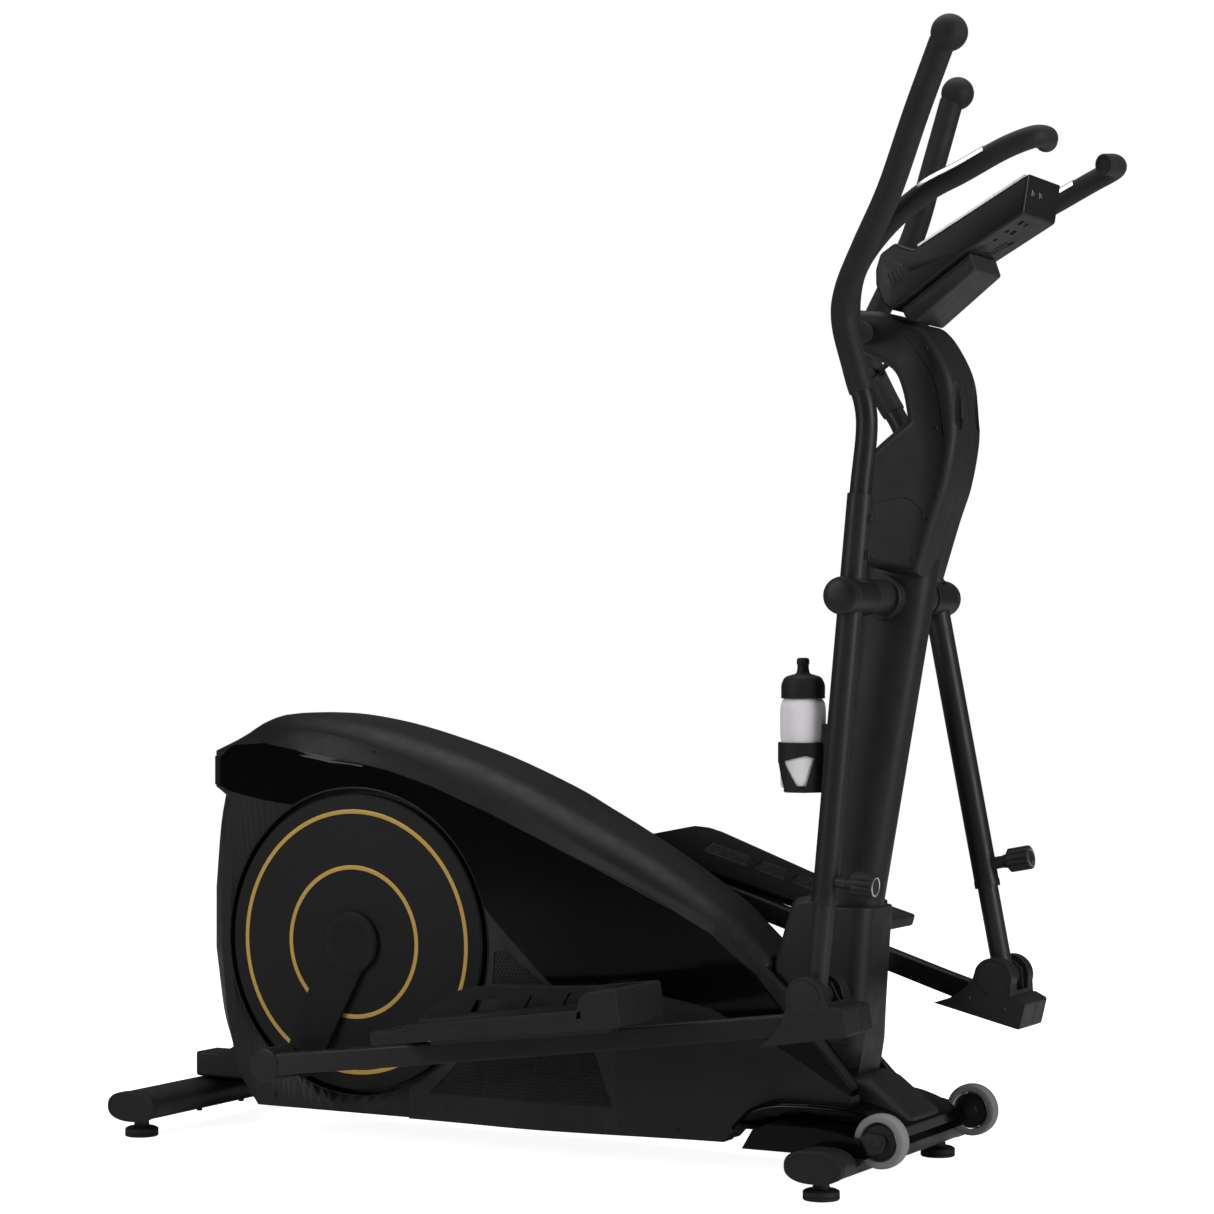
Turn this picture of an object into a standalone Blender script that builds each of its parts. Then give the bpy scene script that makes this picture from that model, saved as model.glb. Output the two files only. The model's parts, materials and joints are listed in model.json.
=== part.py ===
"""Elliptical trainer: an assembly of named parts in metres.

+X is forward (towards the console), +Y the user's left, +Z up, and the floor is Z = 0.
Lengths along X are counted from the crank axis and moved by CRANK_X at the end, so that
the origin lies under the middle of the whole machine.
"""

import math

import bmesh
import bpy
from mathutils import Matrix, Vector

# ---- driving dimensions -------------------------------------------------------------------------
CRANK_X = -0.3975
CRANK_Z = 0.3243
CRANK_THROW = 0.2105
CRANK_ANGLE = -115.9
SHAFT_ROOM = 0.0128
HUB_X = 0.8834
HUB_Z = 0.872
ROCKER = 0.589
COUPLER = 0.931
ARM_Y = 0.158
SHELL_HALF = 0.125
SHELL_NOSE_HALF = 0.088
SHELL_WALL = 0.004
DISC_RADIUS = 0.237
RECESS_RADIUS = 0.245
STABILIZER_REAR_X = -0.355
STABILIZER_FRONT_X = 0.862
STABILIZER_HALF = 0.235
STABILIZER_Z = 0.050
CAP_END = 0.251
CAP_LIP = 0.001
OVAL = (0.045, 0.0235)
FOOT_Y = 0.2184
FOOT_RADIUS = 0.027
WHEEL = (0.9380, 0.175, 0.0835)
WHEEL_RADIUS = 0.040
BEAM_BOTTOM = 0.0738
BEAM_TOP = 0.1138
BEAM_ROOM = 0.0315
BEAM_CLEAR = BEAM_TOP + 0.0015
SADDLE_HALF = 0.062
MAST_FOOT = (0.762, 0.1141)
MAST_TOP = (0.911, 1.040)
MAST_WALL = 0.0025
COVER_WALL = 0.003
PULLEY_RADIUS = 0.145
PINION_RADIUS = 0.020
BELT_Y = 0.069
FLYWHEEL = (0.400, 0.272)
FLYWHEEL_RADIUS = 0.135
BALL_RADIUS = 0.026
GAP = 0.0003
RIGHT = -1
LEFT = 1
SIDES = {"right": RIGHT, "left": LEFT}


# ---- scene and materials ------------------------------------------------------------------------
for old in list(bpy.data.objects):
    bpy.data.objects.remove(old, do_unlink=True)


def finish(name, colour, roughness, metallic=0.0):
    material = bpy.data.materials.new(name)
    material.use_nodes = True
    shader = material.node_tree.nodes["Principled BSDF"]
    shader.inputs["Base Color"].default_value = (*colour, 1.0)
    shader.inputs["Roughness"].default_value = roughness
    shader.inputs["Metallic"].default_value = metallic
    return material


PAINT = finish("black_paint", (0.018, 0.018, 0.019), 0.42)
MATTE = finish("matte_shell", (0.020, 0.020, 0.021), 0.55)
GLOSS = finish("gloss_shell", (0.008, 0.007, 0.009), 0.12)
FOAM = finish("foam_grip", (0.014, 0.014, 0.014), 0.85)
RUBBER = finish("black_rubber", (0.012, 0.012, 0.012), 0.8)
TYRE = finish("grey_tyre", (0.11, 0.11, 0.11), 0.7)
STEEL = finish("bright_steel", (0.55, 0.55, 0.56), 0.3, 1.0)
IRON = finish("cast_iron", (0.10, 0.10, 0.105), 0.5, 1.0)
BELT = finish("belt_rubber", (0.02, 0.02, 0.02), 0.7)
BOTTLE = finish("bottle_plastic", (0.82, 0.80, 0.83), 0.35)
SCREEN = finish("console_plastic", (0.012, 0.012, 0.013), 0.25)


# ---- empties on the joint axes ------------------------------------------------------------------
def axis_empty(name, x, y, z, turn=0.0, parent=None):
    """turn lifts the local +X axis, in degrees, about the machine's cross axis."""
    empty = bpy.data.objects.new(name, None)
    bpy.context.collection.objects.link(empty)
    empty.location = (x, y, z)
    empty.rotation_euler = (0.0, -math.radians(turn), 0.0)
    empty.parent = parent
    return empty


MACHINE = axis_empty("machine", CRANK_X, 0.0, 0.0)


# ---- mesh tools ---------------------------------------------------------------------------------
def add_object(name, bm, material, parent, smooth=True):
    bmesh.ops.recalc_face_normals(bm, faces=bm.faces)
    mesh = bpy.data.meshes.new(name)
    bm.to_mesh(mesh)
    bm.free()
    mesh.materials.append(material)
    if smooth:
        mesh.shade_smooth()
        mesh.set_sharp_from_angle(angle=math.radians(35))
    obj = bpy.data.objects.new(name, mesh)
    bpy.context.collection.objects.link(obj)
    obj.parent = parent
    return obj


def skin(rings, closed_loop=False):
    """A bmesh through rings of points, with faces between neighbours and flat ends."""
    bm = bmesh.new()
    rows = [[bm.verts.new(point) for point in ring] for ring in rings]
    count = len(rows[0])
    pairs = list(zip(rows, rows[1:]))
    if closed_loop:
        pairs.append((rows[-1], rows[0]))
    for a, b in pairs:
        for i in range(count):
            j = (i + 1) % count
            bm.faces.new((a[i], a[j], b[j], b[i]))
    if not closed_loop:
        bm.faces.new(list(reversed(rows[0])))
        bm.faces.new(rows[-1])
    return bm


def axis_point(axis, along, radius, angle, centre):
    c, s = radius * math.cos(angle), radius * math.sin(angle)
    local = {"X": (along, c, s), "Y": (s, along, c), "Z": (c, s, along)}[axis]
    return Vector(local) + Vector(centre)


def turned(name, profile, material, parent, axis="Y", centre=(0, 0, 0), steps=24):
    """A turned piece: profile is a closed loop of (radius, along), or starts and ends on the axis."""
    solid = min(radius for radius, _ in profile) < 1e-6
    bm = bmesh.new()
    columns = []
    for i in range(steps):
        angle = 2 * math.pi * i / steps
        points = [axis_point(axis, along, radius, angle, centre) for radius, along in profile]
        columns.append([bm.verts.new(point) for point in points])
    if solid:
        ends = [bm.verts.new(axis_point(axis, profile[k][1], 0, 0, centre)) for k in (0, -1)]
        for column in columns:
            for k, end in ((0, ends[0]), (-1, ends[1])):
                bm.verts.remove(column[k])
                column[k] = end
    spans = len(profile) - 1 if solid else len(profile)
    for i in range(steps):
        a, b = columns[i], columns[(i + 1) % steps]
        for k in range(spans):
            n = (k + 1) % len(profile)
            corners = [a[k], a[n], b[n], b[k]]
            unique = [v for m, v in enumerate(corners) if v not in corners[:m]]
            bm.faces.new(unique)
    return add_object(name, bm, material, parent)


def ring(name, outer, inner, low, high, material, parent, axis="Y", centre=(0, 0, 0), steps=24):
    low, high = sorted((low, high))
    profile = [(outer, low), (outer, high), (inner, high), (inner, low)]
    return turned(name, profile, material, parent, axis, centre, steps)


def disc(name, radius, low, high, material, parent, axis="Y", centre=(0, 0, 0), steps=20, edge=0.0):
    """A solid cylinder, with its rim chamfered by edge."""
    low, high = sorted((low, high))
    profile = [(0, low), (radius, low), (radius, high), (0, high)]
    if edge:
        near, far = low + edge, high - edge
        profile[1:3] = [(radius - edge, low), (radius, near), (radius, far), (radius - edge, high)]
    return turned(name, profile, material, parent, axis, centre, steps)


def prism(name, outline, low, high, material, parent, bevel=0.0, segments=2):
    """An outline of (x, z) points pulled from y = low to y = high."""
    rings = [[Vector((x, y, z)) for x, z in outline] for y in sorted((low, high))]
    obj = add_object(name, skin(rings), material, parent)
    if bevel:
        add_bevel(obj, bevel, segments)
    return obj


def box(name, low, high, material, parent, bevel=0.0):
    outline = [(low[0], low[2]), (high[0], low[2]), (high[0], high[2]), (low[0], high[2])]
    return prism(name, outline, low[1], high[1], material, parent, bevel)


def add_bevel(obj, width, segments=2, angle=35):
    bevel = obj.modifiers.new("rounded_edges", "BEVEL")
    bevel.width = width
    bevel.segments = segments
    bevel.limit_method = "ANGLE"
    bevel.angle_limit = math.radians(angle)
    bevel.use_clamp_overlap = True
    bevel.harden_normals = False
    return bevel


def rounded(points, radius, steps=4):
    """The path with each inner corner replaced by an arc-like curve that starts radius away."""
    points = [Vector(p) for p in points]
    path = [points[0]]
    for before, corner, after in zip(points, points[1:], points[2:]):
        reach = min(radius, (before - corner).length * 0.45, (after - corner).length * 0.45)
        start = corner + (before - corner).normalized() * reach
        end = corner + (after - corner).normalized() * reach
        for k in range(steps + 1):
            t = k / steps
            path.append(start.lerp(corner, t).lerp(corner.lerp(end, t), t))
    path.append(points[-1])
    return path


def sweep_rings(path, size, side_hint, steps):
    """Rings across a path; size is (half width along the hint, half height)."""
    path = [Vector(p) for p in path]
    rings = []
    across = Vector(side_hint)
    for i, point in enumerate(path):
        ahead = path[min(i + 1, len(path) - 1)] - path[max(i - 1, 0)]
        ahead.normalize()
        across = (across - ahead * across.dot(ahead)).normalized()
        up = ahead.cross(across)
        loop = []
        for k in range(steps):
            angle = 2 * math.pi * k / steps
            loop.append(point + across * size[0] * math.cos(angle) + up * size[1] * math.sin(angle))
        rings.append(loop)
    return rings


def pipe(name, path, size, material, parent, wall=0.0, side_hint=(0, 1, 0), steps=12):
    """A tube along a path, solid or with a wall; size is a radius or two half sizes."""
    size = size if isinstance(size, tuple) else (size, size)
    outer = sweep_rings(path, size, side_hint, steps)
    if not wall:
        return add_object(name, skin(outer), material, parent)
    inner = sweep_rings(path, (size[0] - wall, size[1] - wall), side_hint, steps)
    return add_object(name, skin(outer + inner[::-1], closed_loop=True), material, parent)


def combine(target, tools, operation):
    for tool in tools:
        modifier = target.modifiers.new(operation.lower() + "_" + tool.name, "BOOLEAN")
        modifier.operation = operation
        modifier.object = tool
        modifier.solver = "EXACT"
        tool.hide_render = True
        tool.display_type = "WIRE"
    return target


def weld(target, *tools):
    return combine(target, tools, "UNION")


def cut(target, *tools):
    return combine(target, tools, "DIFFERENCE")


def mirrored(source, name):
    """A copy of the finished object on the other side of the machine's middle plane."""
    bpy.context.view_layer.update()
    graph = bpy.context.evaluated_depsgraph_get()
    mesh = bpy.data.meshes.new_from_object(source.evaluated_get(graph))
    mesh.name = name
    mesh.transform(Matrix.Scale(-1, 4, (0, 1, 0)))
    mesh.flip_normals()
    obj = bpy.data.objects.new(name, mesh)
    bpy.context.collection.objects.link(obj)
    obj.parent = source.parent
    return obj


def offset(outline, distance):
    """The closed outline moved inwards by distance; it runs either way round."""
    count = len(outline)
    area = sum(
        outline[i][0] * outline[(i + 1) % count][1] - outline[(i + 1) % count][0] * outline[i][1]
        for i in range(count)
    )
    turn = 1.0 if area > 0 else -1.0
    moved = []
    for i in range(count):
        here = Vector(outline[i])
        into = (here - Vector(outline[i - 1])).normalized()
        out = (Vector(outline[(i + 1) % count]) - here).normalized()
        normal = Vector((-(into.y + out.y), into.x + out.x)) * turn
        normal.normalize()
        sharp = max(0.35, normal.dot(Vector((-out.y, out.x)) * turn))
        moved.append(tuple(here + normal * distance / sharp))
    return moved


# ---- linkage: where the pins are when the machine stands as drawn --------------------------------
def linkage(crank_degrees):
    """Returns the swing arm's lean forward and the pedal bar's rise to the front, in degrees."""
    crank = math.radians(crank_degrees)
    pin = Vector((CRANK_THROW * math.cos(crank), CRANK_Z + CRANK_THROW * math.sin(crank)))
    hub = Vector((HUB_X, HUB_Z))
    span = hub - pin
    along = (COUPLER**2 - ROCKER**2 + span.length_squared) / (2 * span.length)
    aside = math.sqrt(COUPLER**2 - along**2)
    unit = span.normalized()
    front = pin + unit * along + Vector((unit.y, -unit.x)) * aside
    lean = math.degrees(math.atan2(front.x - hub.x, hub.y - front.y))
    rise = math.degrees(math.atan2(front.y - pin.y, front.x - pin.x))
    return lean, rise, front


CRANK_ANGLES = {"right": CRANK_ANGLE, "left": CRANK_ANGLE + 180.0}
LINKS = {side: linkage(angle) for side, angle in CRANK_ANGLES.items()}
CRANK_AXIS = axis_empty("crank_axis", 0, 0, CRANK_Z, 0, MACHINE)


# ---- floor frame --------------------------------------------------------------------------------
def floor_frame():
    """Centre beam, two cross tubes with their caps and feet, and the cover over the rear joint."""
    half, wall, past = 0.030, 0.003, 0.010
    rear, front = STABILIZER_REAR_X - 0.030, STABILIZER_FRONT_X + 0.018
    beam = box("base_beam", (rear, -half, BEAM_BOTTOM), (front, half, BEAM_TOP), PAINT, MACHINE)
    low = (rear - past, wall - half, BEAM_BOTTOM + wall)
    high = (front + past, half - wall, BEAM_TOP - wall)
    cut(beam, box("beam_hollow", low, high, PAINT, MACHINE))
    for place, x in (("rear", STABILIZER_REAR_X), ("front", STABILIZER_FRONT_X)):
        ends = [(x, -STABILIZER_HALF, STABILIZER_Z), (x, STABILIZER_HALF, STABILIZER_Z)]
        tube = pipe(place + "_stabilizer", ends, OVAL, PAINT, MACHINE, 0.0025, (1, 0, 0), 20)
        if place == "front":
            weld(tube, *wheel_arms())
        for side, sign in SIDES.items():
            inner, outer = sign * (STABILIZER_HALF + GAP), sign * CAP_END
            path = [(x, inner, STABILIZER_Z), (x, outer, STABILIZER_Z)]
            cap_size = (OVAL[0] + CAP_LIP, OVAL[1] + CAP_LIP)
            cap = pipe(f"{side}_{place}_end_cap", path, cap_size, RUBBER, MACHINE, 0, (1, 0, 0), 20)
            add_bevel(cap, 0.004, 1, 60)
            levelling_foot(f"{side}_{place}_foot", x, sign * FOOT_Y)
    saddle = [
        (-0.361, 0.095), (-0.310, 0.118), (-0.262, 0.145),
        (-0.225, 0.145), (-0.225, 0.078), (-0.361, 0.078),
    ]  # fmt: skip
    cover = prism("rear_saddle_cover", saddle, -SADDLE_HALF, SADDLE_HALF, MATTE, MACHINE, 0.006)
    low, high = (-0.42, -BEAM_ROOM, 0.05), (-0.20, BEAM_ROOM, BEAM_CLEAR)
    cut(cover, box("saddle_hollow", low, high, MATTE, MACHINE))


def wheel_arms():
    """Plates that carry the transport wheels, each with its axle bolt."""
    x, y, z = WHEEL
    arms = []
    for side, sign in SIDES.items():
        outline = [
            (0.874, 0.045), (0.900, 0.040), (0.925, 0.064), (0.946, 0.072),
            (0.946, 0.092), (0.925, 0.096), (0.874, 0.068),
        ]  # fmt: skip
        low, high = sign * (y + 0.0145), sign * (y + 0.0185)
        arms.append(prism(side + "_wheel_plate", outline, low, high, PAINT, MACHINE))
        low, high = sign * (y - 0.016), sign * (y + 0.022)
        arms.append(disc(side + "_wheel_bolt", 0.005, low, high, PAINT, MACHINE, "Y", (x, 0, z), 16))
    return arms


def levelling_foot(name, x, y):
    """A round rubber foot on a stem that screws into the cross tube."""
    place = axis_empty(name + "_axis", x, y, 0.0, 0, MACHINE)
    stem, stem_top = 0.008, STABILIZER_Z - OVAL[1] - 0.0004
    profile = [(0, 0), (FOOT_RADIUS, 0), (FOOT_RADIUS, 0.013), (0.023, 0.016)]
    profile += [(stem, 0.016), (stem, stem_top), (0, stem_top)]
    turned(name, profile, RUBBER, place, "Z", steps=20)


def transport_wheels():
    """Two rollers in front, for moving the machine when it is tipped forward."""
    x, y, z = WHEEL
    half = 0.0125
    for side, sign in SIDES.items():
        place = axis_empty(side + "_wheel_axis", x, sign * y, z, 0, MACHINE)
        profile = [(0.0056, -half), (0.036, -half), (WHEEL_RADIUS, -half + 0.004)]
        profile += [(r, -h) for r, h in reversed(profile)]
        turned(side + "_transport_wheel", profile, TYRE, place, "Y", steps=24)


# ---- drive --------------------------------------------------------------------------------------
def drive():
    """Bearing pedestal, shaft, pulley, the outer crank parts and the flywheel with its brake."""
    barrel, bore, barrel_half, middle = 0.030, 0.021, 0.048, (0, 0, CRANK_Z)
    pedestal = ring("crank_pedestal", barrel, bore, -barrel_half, barrel_half, PAINT, MACHINE, "Y", middle)
    foot, foot_half, neck_half, neck_top = BEAM_TOP + GAP, 0.100, 0.0275, CRANK_Z - 0.002
    plate = [
        (-foot_half, foot), (foot_half, foot), (foot_half, 0.130),
        (neck_half, neck_top), (-neck_half, neck_top), (-foot_half, 0.130),
    ]  # fmt: skip
    tools = [
        prism(f"{side}_pedestal_plate", plate, sign * 0.032, sign * 0.038, PAINT, MACHINE)
        for side, sign in SIDES.items()
    ]
    tools.append(box("pedestal_foot", (-foot_half, -0.038, foot), (foot_half, 0.038, 0.120), PAINT, MACHINE))
    weld(pedestal, *tools)
    cut(pedestal, disc("bearing_bore", bore, -0.06, 0.06, PAINT, MACHINE, "Y", middle))
    for side, sign in SIDES.items():
        low, high = sign * 0.032, sign * 0.047
        ring(side + "_crank_bearing", bore - GAP, SHAFT_ROOM, low, high, STEEL, MACHINE, "Y", middle)
    disc("crankshaft", 0.0125, -0.1375, 0.1375, STEEL, CRANK_AXIS)
    hub_radius, web_radius, hub_half, web_half, rim_half = 0.030, 0.118, 0.018, 0.004, 0.009
    half = [(SHAFT_ROOM, hub_half), (hub_radius, hub_half), (hub_radius, web_half), (web_radius, web_half)]
    half += [(web_radius, rim_half), (PULLEY_RADIUS, rim_half)]
    pulley = [(r, BELT_Y - h) for r, h in half] + [(r, BELT_Y + h) for r, h in reversed(half)]
    turned("drive_pulley", pulley, MATTE, CRANK_AXIS, steps=20)
    for side, sign in SIDES.items():
        crank_side(side, sign)
    flywheel_group()


def crank_side(side, sign):
    """Side disc and crank arm, both turning with the shaft."""
    place = axis_empty(side + "_crank_axis", 0, 0, 0, CRANK_ANGLES[side], CRANK_AXIS)
    face = [
        (SHAFT_ROOM, 0.1118), (0.0300, 0.1118), (0.0300, 0.1320), (0.1200, 0.1302),
        (DISC_RADIUS - 0.006, 0.1242), (DISC_RADIUS - 0.003, 0.1118), (DISC_RADIUS, 0.1118),
        (DISC_RADIUS, 0.1245), (DISC_RADIUS - 0.004, 0.1275), (0.1200, 0.1335), (SHAFT_ROOM, 0.1355),
    ]  # fmt: skip
    turned(side + "_side_disc", [(r, sign * h) for r, h in face], MATTE, CRANK_AXIS, steps=32)
    low, high, inside = sign * 0.1378, sign * 0.1500, sign * 0.1400
    arm = prism(side + "_crank", crank_outline(), low, high, PAINT, place, 0.002)
    pin_centre = (CRANK_THROW, 0, 0)
    boss = disc(side + "_crank_boss", 0.0265, inside, sign * 0.1840, PAINT, place, "Y", pin_centre, 28)
    cap = disc(side + "_crank_centre", 0.048, inside, sign * 0.1525, PAINT, place, "Y", steps=36)
    weld(arm, boss, cap)


def crank_outline():
    """A tapered arm along +X with round ends, from the shaft to the crank pin."""
    hub_radius, tip_radius, hub_half, tip_half = 0.050, 0.032, 0.0405, 0.031
    points = []
    hub_angle = math.asin(hub_half / hub_radius)
    tip_angle = math.asin(tip_half / tip_radius)
    for k in range(9):
        angle = hub_angle + (2 * math.pi - 2 * hub_angle) * k / 8
        points.append((hub_radius * math.cos(angle), hub_radius * math.sin(angle)))
    for k in range(7):
        angle = -tip_angle + 2 * tip_angle * k / 6
        points.append((CRANK_THROW + tip_radius * math.cos(angle), tip_radius * math.sin(angle)))
    return points


def flywheel_group():
    """Flywheel with its pinion, on a fork that stands on the beam, and the magnet brake above it."""
    x, z = FLYWHEEL
    axis = axis_empty("flywheel_axis", x, 0, z, 0, MACHINE)
    bore, pinion_end = 0.0105, BELT_Y + 0.009
    profile = [
        (bore, -0.020), (0.030, -0.020), (0.030, -0.008), (0.105, -0.008), (0.110, -0.017),
        (FLYWHEEL_RADIUS, -0.017), (FLYWHEEL_RADIUS, 0.017), (0.110, 0.017), (0.105, 0.008),
        (0.030, 0.008), (0.030, 0.030), (PINION_RADIUS, 0.030), (PINION_RADIUS, pinion_end),
        (bore, pinion_end),
    ]  # fmt: skip
    turned("flywheel", profile, IRON, axis, steps=20)
    disc("flywheel_axle", 0.010, -0.058, 0.100, STEEL, MACHINE, "Y", (x, 0, z), 20)
    foot = BEAM_TOP + GAP
    foot_half, top_half = 0.035, 0.022
    low, high = (x - foot_half, -0.048, foot), (x + foot_half, 0.098, foot + 0.006)
    fork = box("flywheel_fork", low, high, PAINT, MACHINE)
    side_plate = [(x - foot_half, foot), (x + foot_half, foot)]
    side_plate += [(x + top_half, z + top_half), (x - top_half, z + top_half)]
    right_plate = prism("fork_right", side_plate, -0.048, -0.042, PAINT, MACHINE)
    left_plate = prism("fork_left", side_plate, 0.092, 0.098, PAINT, MACHINE)
    weld(fork, right_plate, left_plate)
    cut(fork, disc("fork_bore", 0.0103, -0.12, 0.12, PAINT, MACHINE, "Y", (x, 0, z), 20))
    drive_belt()
    start, end, gap, depth = 35.0, 150.0, 0.004, 0.008
    pivot_angle = math.radians(end)
    reach = FLYWHEEL_RADIUS + gap + depth / 2
    pivot = Vector((reach * math.cos(pivot_angle), reach * math.sin(pivot_angle)))
    band = arc_band(FLYWHEEL_RADIUS + gap, FLYWHEEL_RADIUS + gap + depth, start, end)
    band = [(u - pivot.x, w - pivot.y) for u, w in band]
    brake_axis = axis_empty("brake_axis", x + pivot.x, 0, z + pivot.y, 0, MACHINE)
    prism("magnet_brake", band, -0.016, 0.016, IRON, brake_axis)


def arc_band(inner, outer, start, end, steps=14):
    """The outline of a curved bar between two angles, in degrees."""
    angles = [math.radians(start + (end - start) * k / steps) for k in range(steps + 1)]
    out = [(outer * math.cos(a), outer * math.sin(a)) for a in angles]
    back = [(inner * math.cos(a), inner * math.sin(a)) for a in reversed(angles)]
    return out + back


def drive_belt():
    """A closed belt round the drive pulley and the flywheel's pinion."""
    x, z = FLYWHEEL
    reach = math.hypot(x, z - CRANK_Z)
    slope = math.atan2(z - CRANK_Z, x)
    rings = []
    for y, thickness in ((-0.007, 0.0), (0.007, 0.0), (0.007, 0.002), (-0.007, 0.002)):
        big, small = PULLEY_RADIUS + 0.0010 + thickness, PINION_RADIUS + 0.0010 + thickness
        wrap = math.acos((big - small) / reach)
        loop = []
        for k in range(25):
            angle = slope + wrap + (2 * math.pi - 2 * wrap) * k / 24
            loop.append(Vector((big * math.cos(angle), BELT_Y + y, CRANK_Z + big * math.sin(angle))))
        for k in range(9):
            angle = slope - wrap + 2 * wrap * k / 8
            loop.append(Vector((x + small * math.cos(angle), BELT_Y + y, z + small * math.sin(angle))))
        rings.append(loop)
    add_object("drive_belt", skin(rings, closed_loop=True), BELT, MACHINE)


# ---- drive housing ------------------------------------------------------------------------------
# Pairs along the side face, rear to front: upper point, lower point. Each point is x, z, how far
# the middle stands above it and how far it bulges to the rear.
SHELL_PAIRS = (
    ((-0.262, 0.400, 0, 0.050), (-0.262, 0.300, 0, 0.050)),
    ((-0.256, 0.500, 0, 0.045), (-0.252, 0.200, 0, 0.040)),
    ((-0.246, 0.553, 0, 0.045), (-0.241, 0.150, 0, 0.030)),
    ((-0.264, 0.566, 0, 0.048), (-0.232, 0.110, 0, 0.020)),
    ((-0.264, 0.625, 0, 0.048), (-0.212, 0.079, 0, 0.010)),
    ((-0.235, 0.640, 0.005, 0.030), (-0.190, 0.050, 0, 0)),
    ((-0.190, 0.656, 0.026, 0.010), (-0.150, 0.050, 0, 0)),
    ((-0.134, 0.664, 0.024, 0), (-0.110, 0.050, 0, 0)),
    ((-0.050, 0.655, 0.025, 0), (-0.050, 0.050, 0, 0)),
    ((0.045, 0.633, 0.028, 0), (0.045, 0.050, 0, 0)),
    ((0.170, 0.594, 0.031, 0), (0.170, 0.050, 0, 0)),
    ((0.290, 0.543, 0.036, 0), (0.290, 0.049, 0, 0)),
    ((0.360, 0.508, 0.037, 0), (0.360, 0.049, 0, 0)),
    ((0.425, 0.475, 0.038, 0), (0.425, 0.049, 0, 0)),
    ((0.520, 0.427, 0.035, 0), (0.520, 0.049, 0, 0)),
    ((0.606, 0.383, 0.024, 0), (0.606, 0.049, 0, 0)),
    ((0.640, 0.350, 0.030, 0), (0.640, 0.049, 0, 0)),
    ((0.697, 0.294, 0.036, 0), (0.697, 0.109, 0, 0)),
    ((0.740, 0.251, 0.038, 0), (0.740, 0.1215, 0, 0)),
    ((0.850, 0.142, 0.006, 0), (0.850, 0.1222, 0, 0)),
)
# Share of the half width, of the crown and of the rear bulge at each ring from the middle outwards.
SHELL_STATIONS = (
    (0.0, 1.0, 1.0), (0.45, 1.0, 0.94), (0.78, 0.55, 0.66), (0.93, 0.12, 0.30), (1.0, 0.0, 0.0),
)  # fmt: skip
FLAT_PAIRS = 12
SHELL_ROUND = 0.007
SHELL_MIN = 0.003
SEAM = 0.0005
CUP_DEPTH = 0.1045


def shell_width(x, full=SHELL_HALF):
    """Half width of the housing at x: flat along the discs, narrowing towards the nose."""
    t = min(1.0, max(0.0, (x - 0.30) / 0.38))
    return full - (SHELL_HALF - SHELL_NOSE_HALF) * t * t * (3 - 2 * t)


def shell_rings(sign, inset):
    """Rings from the seam to the side face; each runs along the top to the front and back below."""
    count = len(SHELL_PAIRS)
    points = [pair[0] for pair in SHELL_PAIRS] + [pair[1] for pair in reversed(SHELL_PAIRS)]
    rings = []
    for share, crown, bulge in SHELL_STATIONS:
        trim = inset + (SHELL_ROUND if share == 1.0 else 0.0)
        moved = offset([(x - b * bulge, z + c * crown) for x, z, c, b in points], trim)
        for i in range(count // 2, count):
            j = 2 * count - 1 - i
            middle, half = (moved[i][1] + moved[j][1]) / 2, (moved[i][1] - moved[j][1]) / 2
            half = max(half, SHELL_MIN)
            x = min(moved[i][0], SHELL_PAIRS[-1][0][0] - trim)
            moved[i], moved[j] = (x, middle + half), (x, middle - half)
        rings.append([Vector((x, sign * max(SEAM, share * (shell_width(x) - inset)), z)) for x, z in moved])
    return rings


def shell_skin(sign):
    """One thin wall: outer and inner surfaces joined along the seam; the side narrows in strips."""
    bm = bmesh.new()
    surfaces = []
    for inset in (0.0, SHELL_WALL):
        surfaces.append([[bm.verts.new(p) for p in loop] for loop in shell_rings(sign, inset)])
    outer, inner = surfaces
    count = len(outer[0])
    pairs = list(zip(outer, outer[1:])) + list(zip(inner, inner[1:])) + [(outer[0], inner[0])]
    for a, b in pairs:
        for i in range(count):
            j = (i + 1) % count
            bm.faces.new((a[i], a[j], b[j], b[i]))
    for side_ring in (outer[-1], inner[-1]):
        bm.faces.new(side_ring[: FLAT_PAIRS] + side_ring[-FLAT_PAIRS:])
        for i in range(FLAT_PAIRS - 1, count // 2 - 1):
            bm.faces.new((side_ring[i], side_ring[i + 1], side_ring[-2 - i], side_ring[-1 - i]))
    return bm


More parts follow.
